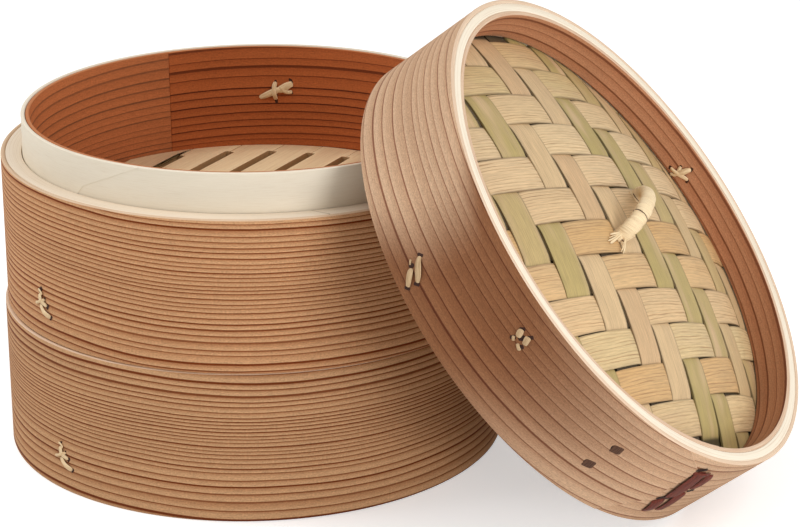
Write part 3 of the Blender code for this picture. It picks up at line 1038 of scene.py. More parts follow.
@dataclass(frozen=True)
class SteppedBand(Band):
    """A band whose bottom is cut back inside, to drop over the lip below.

    Attributes:
        recess: Radius of the cut-back part.
        depth: Height of the cut-back part.
    """

    recess: float = 0.0982
    depth: float = 0.0168

    def outline(self) -> list[Pair]:
        """The outline with its step."""
        full = band_outline(self.inner, self.outer, self.bottom, self.top, self.rows)
        up = full[: self.rows[0] + 3]
        return [*up, (self.inner, self.depth), (self.recess, self.depth), (self.recess, self.bottom)]


# ---------------------------------------------------------------- lacing


@dataclass(frozen=True)
class Strand:
    """One strand of a stitch on a round wall.

    Attributes:
        knots: Angle, height and lift off the wall, in degrees and millimetres.
        width_mm: Its width.
        thick_mm: Its thickness.
        hole_shade: Whether it is a flat dark hole, painted shade, instead of cane.
        blunt: How square its ends are.
    """

    knots: tuple[Knot, ...]
    width_mm: float = 1.5
    thick_mm: float = 0.7
    hole_shade: bool = False
    blunt: float = 12.0


@dataclass(frozen=True)
class Stitch:
    """A stitch on a round wall.

    Attributes:
        name: The piece's name.
        radius: Radius of the wall.
        strands: Its strands and holes.
        inward: Whether it lies on an inner wall.
        at: Angle from which its knots are measured.
    """

    name: str
    radius: float
    strands: tuple[Strand, ...]
    inward: bool = False
    at: float = 0.0

    def build(self) -> Piece:
        """Lays the strands.

        Returns:
            The stitch as one piece.
        """
        sign = -1.0 if self.inward else 1.0
        parts = []
        for number, plan in enumerate(self.strands):
            knots = np.array(plan.knots, dtype=float) + (self.at, 0.0, 0.0)
            rows = curve_through(knots, 6 * len(knots) + 1)
            turn = np.radians(rows[:, 0])
            radius = self.radius + sign * rows[:, 2] * MM
            path = on_circles(radius, turn, rows[:, 1] * MM)
            outward = sign * on_circles(np.ones_like(turn), turn, np.zeros_like(turn))
            share = np.linspace(0, math.pi, len(rows))
            swell = 0.82 + 0.18 * np.sin(share) + 0.08 * np.sin(2.3 * share + number)
            widths = plan.width_mm / 2 * MM * swell
            part = strand(f"{self.name}_{number}", path, outward, widths, plan.thick_mm / 2 * MM, plan.blunt)
            set_face_values(part, CUT, float(plan.hole_shade))
            set_face_values(part, SEED, number / 7 + 0.13)
            parts.append(part)
        piece = join(self.name, parts)
        smooth(piece, 60)
        return piece


def cane(*knots: Knot, width: float = 1.5, thick: float = 0.7) -> Strand:
    """A cane strand through knots."""
    return Strand(knots, width, thick)


def bark(*knots: Knot, width: float, thick: float = 0.7) -> Strand:
    """A square-ended bark strap through knots."""
    return Strand(knots, width, thick, False, 30.0)


def pit(angle: float, height: float, size: float = 1.5, lean: float = 0.3) -> Strand:
    """A dark hole where a strand goes into the wall: painted shade.

    Args:
        angle: Its angle.
        height: Its height in millimetres.
        size: Its length.
        lean: How far it leans, in degrees round the wall.

    Returns:
        The hole as a flat dark strand.
    """
    half = size / 2
    start = (angle - lean, height - half, 0.02)
    end = (angle + lean, height + half, 0.02)
    return Strand((start, (angle, height, 0.04), end), size * 0.75, 0.12, True)


def install_built(rows: Sequence[tuple[Band | Stitch, Finish, str]], place: Matrix, body: str) -> None:
    """Builds bands or stitches, each for the CAD node of its own name."""
    for plan, finish, slot in rows:
        install(plan.build(), place, body, [plan.name], finish)


# ---------------------------------------------------------------- tiers


@dataclass
class Floor:
    """Slatted floor of a tier, modelled with its slats along X.

    Attributes:
        radius: Radius of the slats' round ends.
        top: Height of the slats' tops.
        thickness: Thickness of a slat.
        pitch: Distance between slat middles.
        count: Number of slats.
        joint: Gap where two slats meet.
        slot: Width of the open slots.
        shoulder: From a slot's end to the wall.
        batten: Width and height of a batten.
        batten_offset: Distance of the battens from the middle.
        batten_gap: Gap between a batten and the slats.
        batten_ends: From a batten's ends to the wall.
        seed: Tells one floor's slats from another's.
    """

    radius: float = 0.0921
    top: float = 0.0330
    thickness: float = 0.0050
    pitch: float = 0.0170
    count: int = 10
    joint: float = 0.00012
    slot: float = 0.0042
    shoulder: float = 0.0108
    batten: Pair = (0.0090, 0.0050)
    batten_offset: float = 0.0380
    batten_gap: float = 0.0003
    batten_ends: float = 0.0083
    seed: int = 0

    def box(self, centre: Sequence[float], size: Sequence[float]) -> Piece:
        """A cube primitive of a size at a place."""
        clear_choice()
        bpy.ops.mesh.primitive_cube_add(size=1.0, location=centre, scale=size)
        made = bpy.context.active_object
        settle(made)
        return made

    def carve(self, piece: Piece, tool: Piece, operation: str) -> None:
        """Cuts a piece with a tool and removes the tool."""
        apply_modifier(piece, "BOOLEAN", object=tool, operation=operation, solver="EXACT")
        bpy.data.objects.remove(tool)

    def round_tool(self, radius: float) -> Piece:
        """A cylinder that trims ends to the wall."""
        clear_choice()
        size = {"vertices": RING_STEPS, "radius": radius, "depth": 0.2}
        bpy.ops.mesh.primitive_cylinder_add(**size, location=(0, 0, self.top))
        return bpy.context.active_object

    def slat(self, index: int) -> Piece:
        """Saws one slat: board, slots, round ends and eased edges.

        Args:
            index: Its number, from 0.

        Returns:
            The slat.
        """
        side = (index - (self.count - 1) / 2) * self.pitch
        height = self.top - self.thickness / 2
        board = self.box((0, side, height), (2.2 * self.radius, self.pitch - self.joint, self.thickness))
        for edge in (-1, 1):
            line = side + edge * self.pitch / 2
            if abs(line) < (self.count / 2 - 0.5) * self.pitch:
                half = math.sqrt(self.radius**2 - line**2) - self.shoulder
                tool = self.box((0, line, height), (2 * half, self.slot, 0.02))
                self.carve(board, tool, "DIFFERENCE")
        self.carve(board, self.round_tool(self.radius), "INTERSECT")
        mend(board, SAWN_POINT)
        ease_edges(board, 0.00032, 2)
        self.mark(board, random.Random(100 + index + self.seed).random())
        set_face_values(board, CUT, (np.abs(corner_tables(board)[3][:, 2]) < UPRIGHT).astype(float))
        smooth(board, 30)
        return board

    def mark(self, piece: Piece, seed: float, length: int = 0) -> None:
        """Marks a board's grain and seed.

        Args:
            piece: The board.
            seed: Its own number.
            length: 0 if it lies along X, 1 if along Y.
        """
        points = points_of(piece)
        corner_point, corner_face, _, normals = corner_tables(piece)
        corners = points[corner_point]
        flat = np.abs(normals[corner_face, 2]) > FLAT
        set_grain(piece, corners[:, length], np.where(flat, corners[:, 1 - length], corners[:, 2]))
        set_face_values(piece, SEED, seed)

    def batten_bar(self, side: float) -> Piece:
        """Saws one batten that lies across the slats, underneath.

        Args:
            side: Where it crosses them.

        Returns:
            The batten.
        """
        height = self.top - self.thickness - self.batten_gap - self.batten[1] / 2
        bar = self.box((side, 0, height), (self.batten[0], 2.2 * self.radius, self.batten[1]))
        self.carve(bar, self.round_tool(self.radius - self.batten_ends), "INTERSECT")
        mend(bar, SAWN_POINT)
        ease_edges(bar, 0.0006, 3)
        self.mark(bar, 0.4 + side, 1)
        smooth(bar, 30)
        return bar


@dataclass
class Tier:
    """One steamer tier.

    Attributes:
        prefix: First part of its pieces' names.
        place: Where its axis stands, and the height of its base.
        turn: Direction of its slats.
        wall: Finish of its outer hoop.
        outer_lap: Joint of the outer hoop.
        stitches: Its stitches, with the CAD node that each stands for.
        seed: Tells this tier from the other.
        radius: Outer radius.
        height: Height of the hoops.
        lip_top: Height of the lip's top.
        lip_foot: Height where the lip and the liner start.
        veneer: Thickness of the outer hoop.
        core: Inner and outer radius of the core hoop.
        lip: Inner and outer radius of the lip band.
        liner: Inner and outer radius of the liner.
        floor_ring: Inner and outer radius, foot and top of the floor ring.
        core_turn: Angle of the core hoop's joint.
        liner_turn: Angle of the liner's joint.
        lip_turns: Angles of the lip's slanting joint, at its foot and its top.
    """

    prefix: str
    place: Knot
    turn: float
    wall: Finish
    outer_lap: Lap
    stitches: tuple[Stitch, ...]
    seed: int = 0
    radius: float = 0.1050
    height: float = 0.0632
    lip_top: float = 0.0792
    lip_foot: float = 0.0168
    veneer: float = 0.0020
    core: Pair = (0.0963, 0.1030)
    lip: Pair = (0.0943, 0.0960)
    liner: Pair = (0.0924, 0.0940)
    floor_ring: tuple[float, float, float, float] = (0.0841, 0.0921, 0.0197, 0.0277)
    core_turn: float = -52.5
    liner_turn: float = 138.4
    lip_turns: Pair = (-112.9, -92.9)
    body: str = field(init=False)

    def __post_init__(self) -> None:
        """Names the body that the tier rides on."""
        self.body = f"{self.prefix}_tier"

    def matrix(self, turn: float = 0.0) -> Matrix:
        """The tier's place, with a turn about its axis."""
        return Matrix.Translation(self.place) @ Matrix.Rotation(math.radians(turn), 4, "Z")

    def build(self) -> None:
        """Builds and installs every piece of the tier."""
        self.build_hoops()
        self.build_floor()
        self.build_stitches()

    def build_hoops(self) -> None:
        """Outer hoop, core hoop, lip band and liner."""
        name, seed, top = self.prefix, self.seed, self.height
        lip_lap = Lap(((top + 0.0012, self.lip_turns[0]), (self.lip_top - 0.0002, self.lip_turns[1])),
                      0.00016, 8.0)
        liner_lap = Lap(((self.lip_foot, self.liner_turn), (self.lip_top, self.liner_turn)),
                        0.0003, 30.0, True, True)
        core_lap = Lap(((0.0, self.core_turn), (top, self.core_turn)))
        outer = Band(f"{name}_outer_hoop", self.radius - self.veneer, self.radius, 0.0, top,
                     self.outer_lap, 0.00080, (10, 1), 0.00009, seed)
        core = SteppedBand(f"{name}_core_hoop", *self.core, 0.0, top - HAIR,
                           core_lap, 0.00045, (2, 1), 0.00004, seed + 1)
        lip = Band(f"{name}_lip_band", *self.lip, self.lip_foot, self.lip_top,
                   lip_lap, 0.0005, (10, 1), 0.00005, seed + 2)
        liner = Band(f"{name}_liner", *self.liner, self.lip_foot, self.lip_top - 3 * HAIR,
                     liner_lap, 0.0004, (1, 8), 0.00007, seed + 3)
        rows = (
            (outer, self.wall, "cedar_wrap"),
            (core, Finish.CORE, "pale_wood"),
            (lip, Finish.LIP, "pale_wood"),
            (liner, Finish.LINER, "cedar_liner"),
        )
        install_built(rows, self.matrix(), self.body)

    def build_floor(self) -> None:
        """Floor ring, slats and battens."""
        floor = Floor(seed=self.seed * 10)
        hidden_lap = Lap(((0.0, 200.0), (0.03, 200.0)))
        ring = Band(f"{self.prefix}_floor_ring", *self.floor_ring,
                    hidden_lap, 0.0006, (2, 2), 0.0, self.seed + 5)
        install_built([(ring, Finish.LIP, "pale_wood")], self.matrix(), self.body)
        for index in range(floor.count):
            slat = floor.slat(index)
            node = f"{self.prefix}_slat_{index + 1:02d}"
            slat.name = node
            install(slat, self.matrix(self.turn), self.body, [node], Finish.SLAT)
        for word, side in (("near", -floor.batten_offset), ("far", floor.batten_offset)):
            bar = floor.batten_bar(side)
            node = f"{self.prefix}_{word}_batten"
            bar.name = node
            install(bar, self.matrix(self.turn), self.body, [node], Finish.SLAT)

    def build_stitches(self) -> None:
        """The tier's cane stitches."""
        install_built([(stitch, Finish.CANE, "cane") for stitch in self.stitches], self.matrix(), self.body)


# ---------------------------------------------------------------- weave


@dataclass(frozen=True)
class StripRun:
    """One set of parallel strips.

    Attributes:
        turn: Direction of the strips.
        pitch: Distance between their middles.
        offset: Where strip 0 begins, measured across the strips.
        width: Width of a strip.
        lift: How far a strip rises over the ones that it crosses.
        puff: How much a float bows up.
        crown: How much a strip's middle stands over its edges.
        finish: Finish of the strips.
        tones: Tone of each strip, from strip -7 on.
        greens: Share of green skin of each strip, from strip -7 on.
    """

    turn: float
    pitch: float
    offset: float
    width: float
    lift: float
    puff: float
    crown: float
    finish: Finish
    tones: tuple[float, ...]
    greens: tuple[float, ...]

    def direction(self) -> np.ndarray:
        """Unit vector along the strips."""
        return np.array([math.cos(math.radians(self.turn)), math.sin(math.radians(self.turn))])

    def normal(self) -> np.ndarray:
        """Unit vector across the strips."""
        return np.array([-math.sin(math.radians(self.turn)), math.cos(math.radians(self.turn))])


@dataclass(frozen=True)
class Weave:
    """A domed sheet of twill weave.

    Attributes:
        name: First part of its pieces' names.
        weft: The strips that float on top in the pattern.
        warp: The strips that cross them.
        edge_height: Height of the sheet's middle surface at its edge.
        rise: How far the dome stands over its edge.
        dome_radius: Radius at which the dome ends.
        reach: Radius at which the strips end.
        thickness: Thickness of a strip.
        bend: Share of a crossing over which a strip changes level.
        fine: Length of a face along a strip.
        seen_from_below: Whether its underside is the one that shows.
    """

    name: str
    weft: StripRun
    warp: StripRun
    edge_height: float
    rise: float = 0.0145
    dome_radius: float = 0.0982
    reach: float = 0.0990
    thickness: float = 0.0008
    bend: float = 0.24
    fine: float = 0.0013
    seen_from_below: bool = False

    def weft_over(self, weft: np.ndarray, warp: np.ndarray) -> np.ndarray:
        """1 where the weft passes over the warp, -1 where it passes under."""
        return np.where(np.isin(np.mod(weft + warp, 4), (1, 2)), 1.0, -1.0)

    def level(self, place: np.ndarray, rule: Rule) -> tuple[np.ndarray, np.ndarray]:
        """Level of a strip along the strips that it crosses.

        Args:
            place: Position in crossings.
            rule: Gives 1 or -1 for each crossing's number.

        Returns:
            The smoothed level, and how far into a float each point is.
        """
        index = np.floor(place)
        part = place - index
        here, before, after = rule(index), rule(index - 1), rule(index + 1)
        ease_in = np.sin(np.clip(part / self.bend, 0, 1) * math.pi / 2)
        ease_out = np.sin(np.clip((1 - part) / self.bend, 0, 1) * math.pi / 2)
        low, high = (before + here) / 2, (after + here) / 2
        value = here + (low - here) * (1 - ease_in) + (high - here) * (1 - ease_out)
        run = np.where(before == here, (1 + part) / 2, part / 2)
        float_share = np.where(here > 0, np.sin(math.pi * np.clip(run, 0, 1)), 0.0)
        return value, float_share

    def strip(self, run: StripRun, cross: StripRun, number: int, rule: Rule) -> Piece:
        """Weaves one strip.

        Args:
            run: The set that it belongs to.
            cross: The set that it crosses.
            number: Its number.
            rule: Its level at each crossing.

        Returns:
            The strip.
        """
        rng = random.Random(f"{self.name}{run.turn}{number}")
        middle = run.offset + run.pitch * (number + 0.5) + rng.uniform(-0.00025, 0.00025)
        half = run.width / 2 * rng.uniform(0.975, 1.02)
        chord = math.sqrt(max(self.reach**2 - middle**2, 0.0))
        steps = max(8, int(2 * chord / self.fine))
        piece, u, v = blank_grid("strip", steps, 6)
        phase, tilt = rng.uniform(0, LAST_PHASE), rng.uniform(-0.0006, 0.0006)
        wander = 0.00018 * np.sin(u * chord * 90 + phase)
        side = middle + v * half * (1 + 0.018 * np.sin(u * chord * 210 + phase)) + wander + tilt * (2 * u - 1)
        end = np.sqrt(np.clip(self.reach**2 - side**2, 1e-8, None))
        along = (2 * u - 1) * end
        flat = along[:, None] * run.direction() + side[:, None] * run.normal()
        place = (flat @ cross.normal() - cross.offset) / cross.pitch
        value, floating = self.level(place, rule)
        rho = np.clip(np.hypot(flat[:, 0], flat[:, 1]) / self.dome_radius, 0, 1.01)
        grip = 1 - 0.45 * np.clip((rho - 0.88) / 0.12, 0, 1)
        base = self.edge_height + self.rise * (1 - rho**2)
        height = base + grip * (run.lift * value + run.puff * floating + run.crown * (1 - v**2))
        set_points(piece, np.stack([flat[:, 0], flat[:, 1], height], 1))
        grain_from_grid(piece, along, v * half)
        # Marks where the strip runs under another, for the painted shade in its finish.
        layer = piece.data.attributes.new(UNDER_SHADE_MARK, "FLOAT", "POINT")
        layer.data.foreach_set("value", np.clip(value if self.seen_from_below else -value, 0.0, 1.0))
        apply_modifier(piece, "SOLIDIFY", thickness=self.thickness, offset=0.0)
        set_face_values(piece, SEED, rng.random())
        set_face_values(piece, TONE, self.held(run.tones, number))
        set_face_values(piece, GREEN, self.held(run.greens, number))
        return piece

    @staticmethod
    def held(values: tuple[float, ...], number: int) -> float:
        """The value for a strip's number, from strip -7 on."""
        return values[min(max(number + 7, 0), len(values) - 1)]

    def numbers(self, run: StripRun) -> list[int]:
        """Numbers of the strips that lie on the sheet."""
        limit = self.reach - run.width * 0.35
        return [n for n in range(-9, 10) if abs(run.offset + run.pitch * (n + 0.5)) < limit]

    def build(self) -> list[tuple[Piece, Finish]]:
        """Weaves both sets of strips.

        Returns:
            The pieces with their finishes.
        """
        made = []
        for word, run, cross in (("wefts", self.weft, self.warp), ("warps", self.warp, self.weft)):
            strips = []
            for number in self.numbers(run):
                if word == "wefts":
                    rule = lambda index, n=number: self.weft_over(np.float64(n), index)
                else:
                    rule = lambda index, n=number: -self.weft_over(index, np.float64(n))
                strips.append(self.strip(run, cross, number, rule))
            piece = join(f"{self.name}_{word}", strips)
            smooth(piece, 50)
            made.append((piece, run.finish))
        return made

    def surface_height(self, x: float, y: float) -> float:
        """Height of the sheet's top over a point."""
        rho = math.hypot(x, y) / self.dome_radius
        return self.edge_height + self.rise * (1 - rho**2) + self.thickness

    def lining(self, name: str, drop: float) -> Piece:
        """A thin dark leaf sheet under the weave, its dark colour painted shade for the gaps between strips.

        Args:
            name: The piece's name.
            drop: How far it lies under the weave's middle surface.

        Returns:
            The sheet.
        """
        piece, u, v = blank_grid(name, 24, 96)
        radius = u * self.reach
        turn = v * math.pi
        height = self.edge_height - drop + self.rise * (1 - (radius / self.dome_radius) ** 2)
        set_points(piece, on_circles(radius, turn, height))
        grain_from_grid(piece, radius * np.cos(turn), radius * np.sin(turn))
        mend(piece)
        apply_modifier(piece, "SOLIDIFY", thickness=0.00012, offset=0.0)
        smooth(piece, 60)
        return piece


# ---------------------------------------------------------------- lid


@dataclass
class Handle:
    """The wound cane loop on top of the weave.

    Attributes:
        centre: Its middle on the lid.
        turn: Its direction.
        span: Distance between its feet.
        rise: Height of the arch over its feet.
        foot: Depth of the feet below the weave.
        half_width: Half its width.
        half_depth: Half its thickness.
        turns: Windings of the cane round it.
        strip: Width of the wound strip.
        strip_thickness: Its thickness.
        bare: Share of the arch left bare at each end.
        tails: Number of frayed ends at its feet.
        gap_at: Where along the arch a dark ring paints the shade of a parting between windings.
    """

    centre: Pair = (-0.0036, 0.0053)
    turn: float = 100.4
    span: float = 0.0355
    rise: float = 0.0098
    foot: float = 0.0008
    half_width: float = 0.0030
    half_depth: float = 0.0021
    turns: float = 9.0
    strip: float = 0.0064
    strip_thickness: float = 0.00035
    bare: float = 0.03
    tails: int = 11
    gap_at: float = 0.33

    def arch(self, share: np.ndarray, base: float) -> np.ndarray:
        """Points of the arch's centre line.

        Args:
            share: 0 to 1 from the near foot to the far one.
            base: Height of the weave under the handle.

        Returns:
            One row for each share.
        """
        swing = share * math.pi
        reach = -np.cos(swing) * self.span / 2
        height = base - self.foot + (self.rise + self.foot) * np.sin(swing) ** 0.72
        angle = math.radians(self.turn)
        x = self.centre[0] + reach * math.cos(angle)
        y = self.centre[1] + reach * math.sin(angle)
        return np.stack([x, y, height], 1)

    def frame_at(self, share: np.ndarray, base: float) -> tuple[np.ndarray, np.ndarray, np.ndarray]:
        """Centre, sideways and outward directions along the arch."""
        centre = self.arch(share, base)
        tangent = unit_rows(self.arch(share + 1e-3, base) - self.arch(share - 1e-3, base))
        angle = math.radians(self.turn)
        sideways = np.tile([-math.sin(angle), math.cos(angle), 0.0], (len(share), 1))
        return centre, sideways, np.cross(sideways, tangent) * -1

    def wrapping(self, base: float) -> Piece:
        """The cane strip wound round the arch, each turn lapping the last.

        Args:
            base: Height of the weave under the handle.

        Returns:
            The wrapping.
        """
        piece, u, v = blank_grid("lid_handle_wrap", 220, 6)
        length = self.span * 1.45
        share = self.bare + (1 - 2 * self.bare) * u + v * self.strip / 2 / length
        share = np.clip(share, 0.004, 0.996)
        centre, sideways, outward = self.frame_at(share, base)
        turn = TURN * self.turns * u
        swell = 1.0 + 0.15 * (v + 1) / 2 + 0.03 * np.sin(turn * 0.37)
        wide = (self.half_width * swell * np.cos(turn))[:, None] * sideways
        thick = (self.half_depth * swell * np.sin(turn))[:, None] * outward
        set_points(piece, centre + wide + thick)
        grain_from_grid(piece, u * self.turns * 0.017, v * self.strip / 2)
        apply_modifier(piece, "SOLIDIFY", thickness=self.strip_thickness, offset=0.0)
        set_face_values(piece, SEED, 0.37)
        smooth(piece, 60)
        return piece

    def core(self, base: float) -> Piece:
        """The cane strands inside, down through the weave, their knotted ends, and painted shade: dark
        hollows at the feet and a dark ring round the arch.

        Args:
            base: Height of the weave under the handle.

        Returns:
            The strands as one piece.
        """
        parts = []
        share = np.linspace(0.0, 1.0, 33)
        centre, sideways, outward = self.frame_at(np.clip(share, 0.002, 0.998), base)
        for number, side in enumerate((-0.0011, 0.0011)):
            path = centre + sideways * side
            parts.append(strand(f"core_{number}", path, outward, np.full(33, 0.00125), 0.0011))
        angle = math.radians(self.turn)
        along = np.array([math.cos(angle), math.sin(angle), 0.0])
        across = np.array([-math.sin(angle), math.cos(angle), 0.0])
        near = self.arch(np.array([0.02]), base)[0]
        far = self.arch(np.array([0.98]), base)[0]
        up = np.array([0.0, 0.0, 1.0])
        rng = random.Random(5)
        for number in range(self.tails):
            origin, sign = (far, 1) if number % 5 == 4 else (near, -1)
            reach, swing = rng.uniform(0.004, 0.011), rng.uniform(-0.0034, 0.0042)
            knots = np.array([
                origin + up * 0.0022 - along * sign * 0.0008 + across * swing * 0.3,
                origin + up * 0.0017 + along * sign * reach * 0.35 + across * swing * 0.6,
                origin + up * 0.0010 + along * sign * reach * 0.75 + across * swing,
                origin - up * 0.0002 + along * sign * reach + across * swing * 1.3,
            ])
            path = curve_through(knots, 15)
            width = rng.uniform(0.00022, 0.0005)
            parts.append(strand(f"tail_{number}", path, np.tile(up, (15, 1)), np.full(15, width), 0.00018))
        for number, part in enumerate(parts):
            set_face_values(part, SEED, number / 5)
        # Painted shade: flat dark hollows at the feet and a dark ring round the arch at gap_at.
        painted_shade_hollows = []
        for origin, sign in ((near, -1), (far, 1)):
            steps = ((-0.003, 0.0006), (0.0, 0.0009), (0.0026, 0.0006))
            knots = np.array([origin + along * sign * reach + up * lift for reach, lift in steps])
            path = curve_through(knots, 13)
            painted_shade_hollows.append(strand("hollow", path, np.tile(up, (13, 1)), np.full(13, 0.0026), 0.0002))
        ring = np.linspace(0.0, TURN, 25)[:, None]
        middle, sideways, outward = self.frame_at(np.array([self.gap_at]), base)
        away = np.cos(ring) * sideways * self.half_width + np.sin(ring) * outward * self.half_depth
        painted_shade_hollows.append(strand("gap", middle + away * 1.17, unit_rows(away), np.full(25, 0.00032), 0.00012))
        for hollow in painted_shade_hollows:
            set_face_values(hollow, SEED, 0.5)
            set_face_values(hollow, CUT, 1.0)
        piece = join("lid_handle_core", parts + painted_shade_hollows)
        smooth(piece, 60)
        return piece


@dataclass
class Lid:
    """The domed lid, leaning on the tiers.

    Attributes:
        centre: Middle of its lower rim in the row frame.
        lean: Angle of its axis from upright.
        radius: Outer radius.
        height: Height of its hoops.
        bottom_ring_top: Height of the inner ring under the weave.
        top_ring_foot: Height where the inner ring over the weave starts.
        veneer: Thickness of the outer hoop.
        core: Inner and outer radius of the core hoop.
        upper_ring: Inner and outer radius of the ring over the weave.
        lower_ring: Inner and outer radius of the ring under the weave.
        shade_sheet_drop: How far the dark sheet of painted shade lies under the upper sheet's middle.
        body: The body that it rides on.
    """

    centre: Knot = (0.067598, -0.004394, 0.082794)
    lean: float = 51.7
    radius: float = 0.1055
    height: float = 0.0476
    bottom_ring_top: float = 0.0277
    top_ring_foot: float = 0.0316
    veneer: float = 0.0019
    core: Pair = (0.1000, 0.1037)
    upper_ring: Pair = (0.0982, 0.1001)
    lower_ring: Pair = (0.0965, 0.0997)
    shade_sheet_drop: float = 0.00125
    body: str = "lid"
    top: Weave = field(init=False)
    under: Weave = field(init=False)
    handle: Handle = field(default_factory=Handle)

    def __post_init__(self) -> None:
        """Plans both woven sheets."""
        weft = StripRun(69.6, 0.0151, 0.0042, 0.0147, 0.00050, 0.00055, 0.00040, Finish.WEFT,
                        (0.3, 0.2, 0.9, 0.1, 0.35, 0.65, 0.95, 0.25, 0.1, 0.0, 0.15, 0.3, 0.5, 0.2, 0.3),
                        (0.0, 0.2, 0.0, 0.35, 0.0, 0.0, 0.0, 0.0, 0.0, 0.1, 0.1, 0.45, 0.2, 0.1, 0.0))
        warp = StripRun(-23.5, 0.0158, -0.0129, 0.0143, 0.00045, 0.00020, 0.00025, Finish.WARP,
                        (0.3, 0.1, 0.4, 0.3, 0.1, 0.1, 0.7, 0.15, 0.2, 0.1, 0.3, 0.2, 0.4, 0.2, 0.3),
                        (0.2, 0.1, 0.35, 0.65, 0.85, 0.05, 0.0, 0.05, 0.9, 0.85, 0.7, 0.2, 0.5, 0.2, 0.3))
        self.top = Weave("lid_top_weave", weft, warp, 0.03040)
        low_weft = StripRun(21.0, 0.0151, 0.0020, 0.0146, 0.00032, 0.00010, 0.00012, Finish.WEFT,
                            weft.tones[::-1], weft.greens)
        low_warp = StripRun(-69.0, 0.0155, -0.0100, 0.0140, 0.00032, 0.00005, 0.00010, Finish.WARP,
                            warp.tones[::-1], warp.tones)
        self.under = Weave("lid_under_weave", low_weft, low_warp, 0.02838, thickness=0.0006,
                           fine=0.0022, seen_from_below=True)

    def matrix(self) -> Matrix:
        """The lid's place in the row frame."""
        return Matrix.Translation(self.centre) @ Matrix.Rotation(math.radians(self.lean), 4, "Y")

    def build(self) -> None:
        """Builds and installs every piece of the lid."""
        self.build_hoops()
        self.build_weaves()
        self.build_handle()
        self.build_stitches()
        self.build_bark()

    def build_hoops(self) -> None:
        """Outer hoop, core hoop and the two inner rings."""
        turns = ((0.0, -44.5), (0.0035, -43.0), (0.0165, -36.2), (0.0392, -36.0), (0.0476, -44.6))
        outer_lap = Lap(turns, 0.00035, 40.0)
        core_lap = Lap(((0.0, 110.0), (self.height, 110.0)))
        ring_lap = Lap(((0.0, -30.0), (self.height, -32.0)), 0.0002, 30.0, True, True)
        outer = Band("lid_outer_hoop", self.radius - self.veneer, self.radius, 0.0, self.height,
                     outer_lap, 0.00045, (12, 1), 0.00010, 31)
        core = Band("lid_core_hoop", *self.core, 0.0, self.height - HAIR,
                    core_lap, 0.0004, (2, 2), 0.00005, 32)
        upper = Band("lid_upper_ring", *self.upper_ring, self.top_ring_foot, self.height - 2 * HAIR,
                     ring_lap, 0.0003, (1, 6), 0.00006, 33)
        lower = Band("lid_lower_ring", *self.lower_ring, 0.0, self.bottom_ring_top,
                     core_lap, 0.0004, (2, 6), 0.00006, 34)
        rows = (
            (outer, Finish.LID_WALL, "cedar_wrap"),
            (core, Finish.LID_CORE, "pale_wood"),
            (upper, Finish.LID_LINER, "cedar_liner"),
            (lower, Finish.LINER, "cedar_liner"),
        )
        install_built(rows, self.matrix(), self.body)

    def build_weaves(self) -> None:
        """Both woven sheets and the dark sheet between them, painted shade for their gaps."""
        for weave, node in ((self.top, "lid_top_weave"), (self.under, "lid_under_weave")):
            for piece, finish in weave.build():
                install(piece, self.matrix(), self.body, [node], finish)
        # The dark sheet under the top weave is painted shade for its gaps.
        lining = self.top.lining("lid_leaf_lining", self.shade_sheet_drop)
        install(lining, self.matrix(), self.body, [], Finish.LINING)

    def build_handle(self) -> None:
        """The wound handle."""
        base = self.top.surface_height(*self.handle.centre)
        for build, node in ((self.handle.wrapping, "lid_handle_wrap"), (self.handle.core, "lid_handle_core")):
            install(build(base), self.matrix(), self.body, [node], Finish.WRAP)

    def build_stitches(self) -> None:
        """The lid's three cane stitches."""
        low = Stitch("lid_lower_stitch", self.radius, (
            pit(-114.0, 14.6, 1.9, 0.5), pit(-109.3, 8.0, 1.8, 0.5),
            pit(-113.2, 9.3, 2.2, 0.3), pit(-109.7, 3.7, 1.8, 0.5),
            cane((-113.9, 14.3, 0.0), (-112.8, 12.8, 0.6), (-110.6, 10.4, 0.6), (-109.4, 8.4, 0.0),
                 width=2.5, thick=0.6),
            cane((-112.7, 9.0, 0.0), (-111.9, 7.6, 0.5), (-110.5, 5.4, 0.5), (-109.8, 4.0, 0.0),
                 width=2.4, thick=0.6),
            cane((-114.4, 10.2, 0.1), (-113.9, 9.6, 0.3), (-113.4, 8.9, 0.1), width=0.9, thick=0.4),
        ))
        high = Stitch("lid_upper_stitch", self.radius, (
            pit(-90.2, 35.9, 2.2, 0.3), pit(-87.9, 36.6, 2.2, 0.3),
            pit(-89.9, 30.9, 2.2, 0.3), pit(-87.4, 31.0, 2.4, 0.3),
            pit(-88.8, 33.6, 2.8, 0.3),
            cane((-90.3, 35.8, 0.1), (-90.0, 34.9, 0.5), (-89.6, 33.4, 0.5), (-89.4, 32.6, 0.1),
                 width=2.4, thick=0.6),
            cane((-88.2, 36.2, 0.1), (-88.0, 35.3, 0.5), (-87.6, 33.7, 0.5), (-87.4, 32.8, 0.1),
                 width=2.4, thick=0.6),
            cane((-90.1, 31.6, 0.1), (-89.7, 30.9, 0.4), (-89.3, 30.2, 0.1), width=1.3, thick=0.5),
            cane((-88.4, 31.0, 0.1), (-87.7, 30.4, 0.4), (-86.9, 29.9, 0.1), width=1.5, thick=0.5),
        ))
        inner = Stitch("lid_rim_stitch", self.upper_ring[0], (
            pit(88.4, 41.0, 2.0, 0.2), pit(90.4, 37.6, 1.6), pit(86.6, 36.4, 1.8), pit(91.8, 33.6, 1.6),
            cane((88.4, 41.0, 0.0), (88.8, 39.4, 0.9), (89.2, 36.8, 1.2), (89.6, 34.4, 0.6),
                 width=2.4, thick=0.9),
            cane((86.6, 37.0, 0.1), (88.0, 36.4, 0.9), (89.8, 35.0, 1.3), (91.8, 33.8, 0.3),
                 width=1.8, thick=0.8),
            cane((90.6, 38.0, 0.1), (89.9, 36.2, 1.0), (89.6, 33.8, 0.9), (90.6, 32.0, 0.3),
                 width=1.6, thick=0.7),
        ), True)
        rows = ((low, Finish.LID_CANE, "cane"), (high, Finish.LID_CANE, "cane"), (inner, Finish.CANE, "cane"))
        install_built(rows, self.matrix(), self.body)

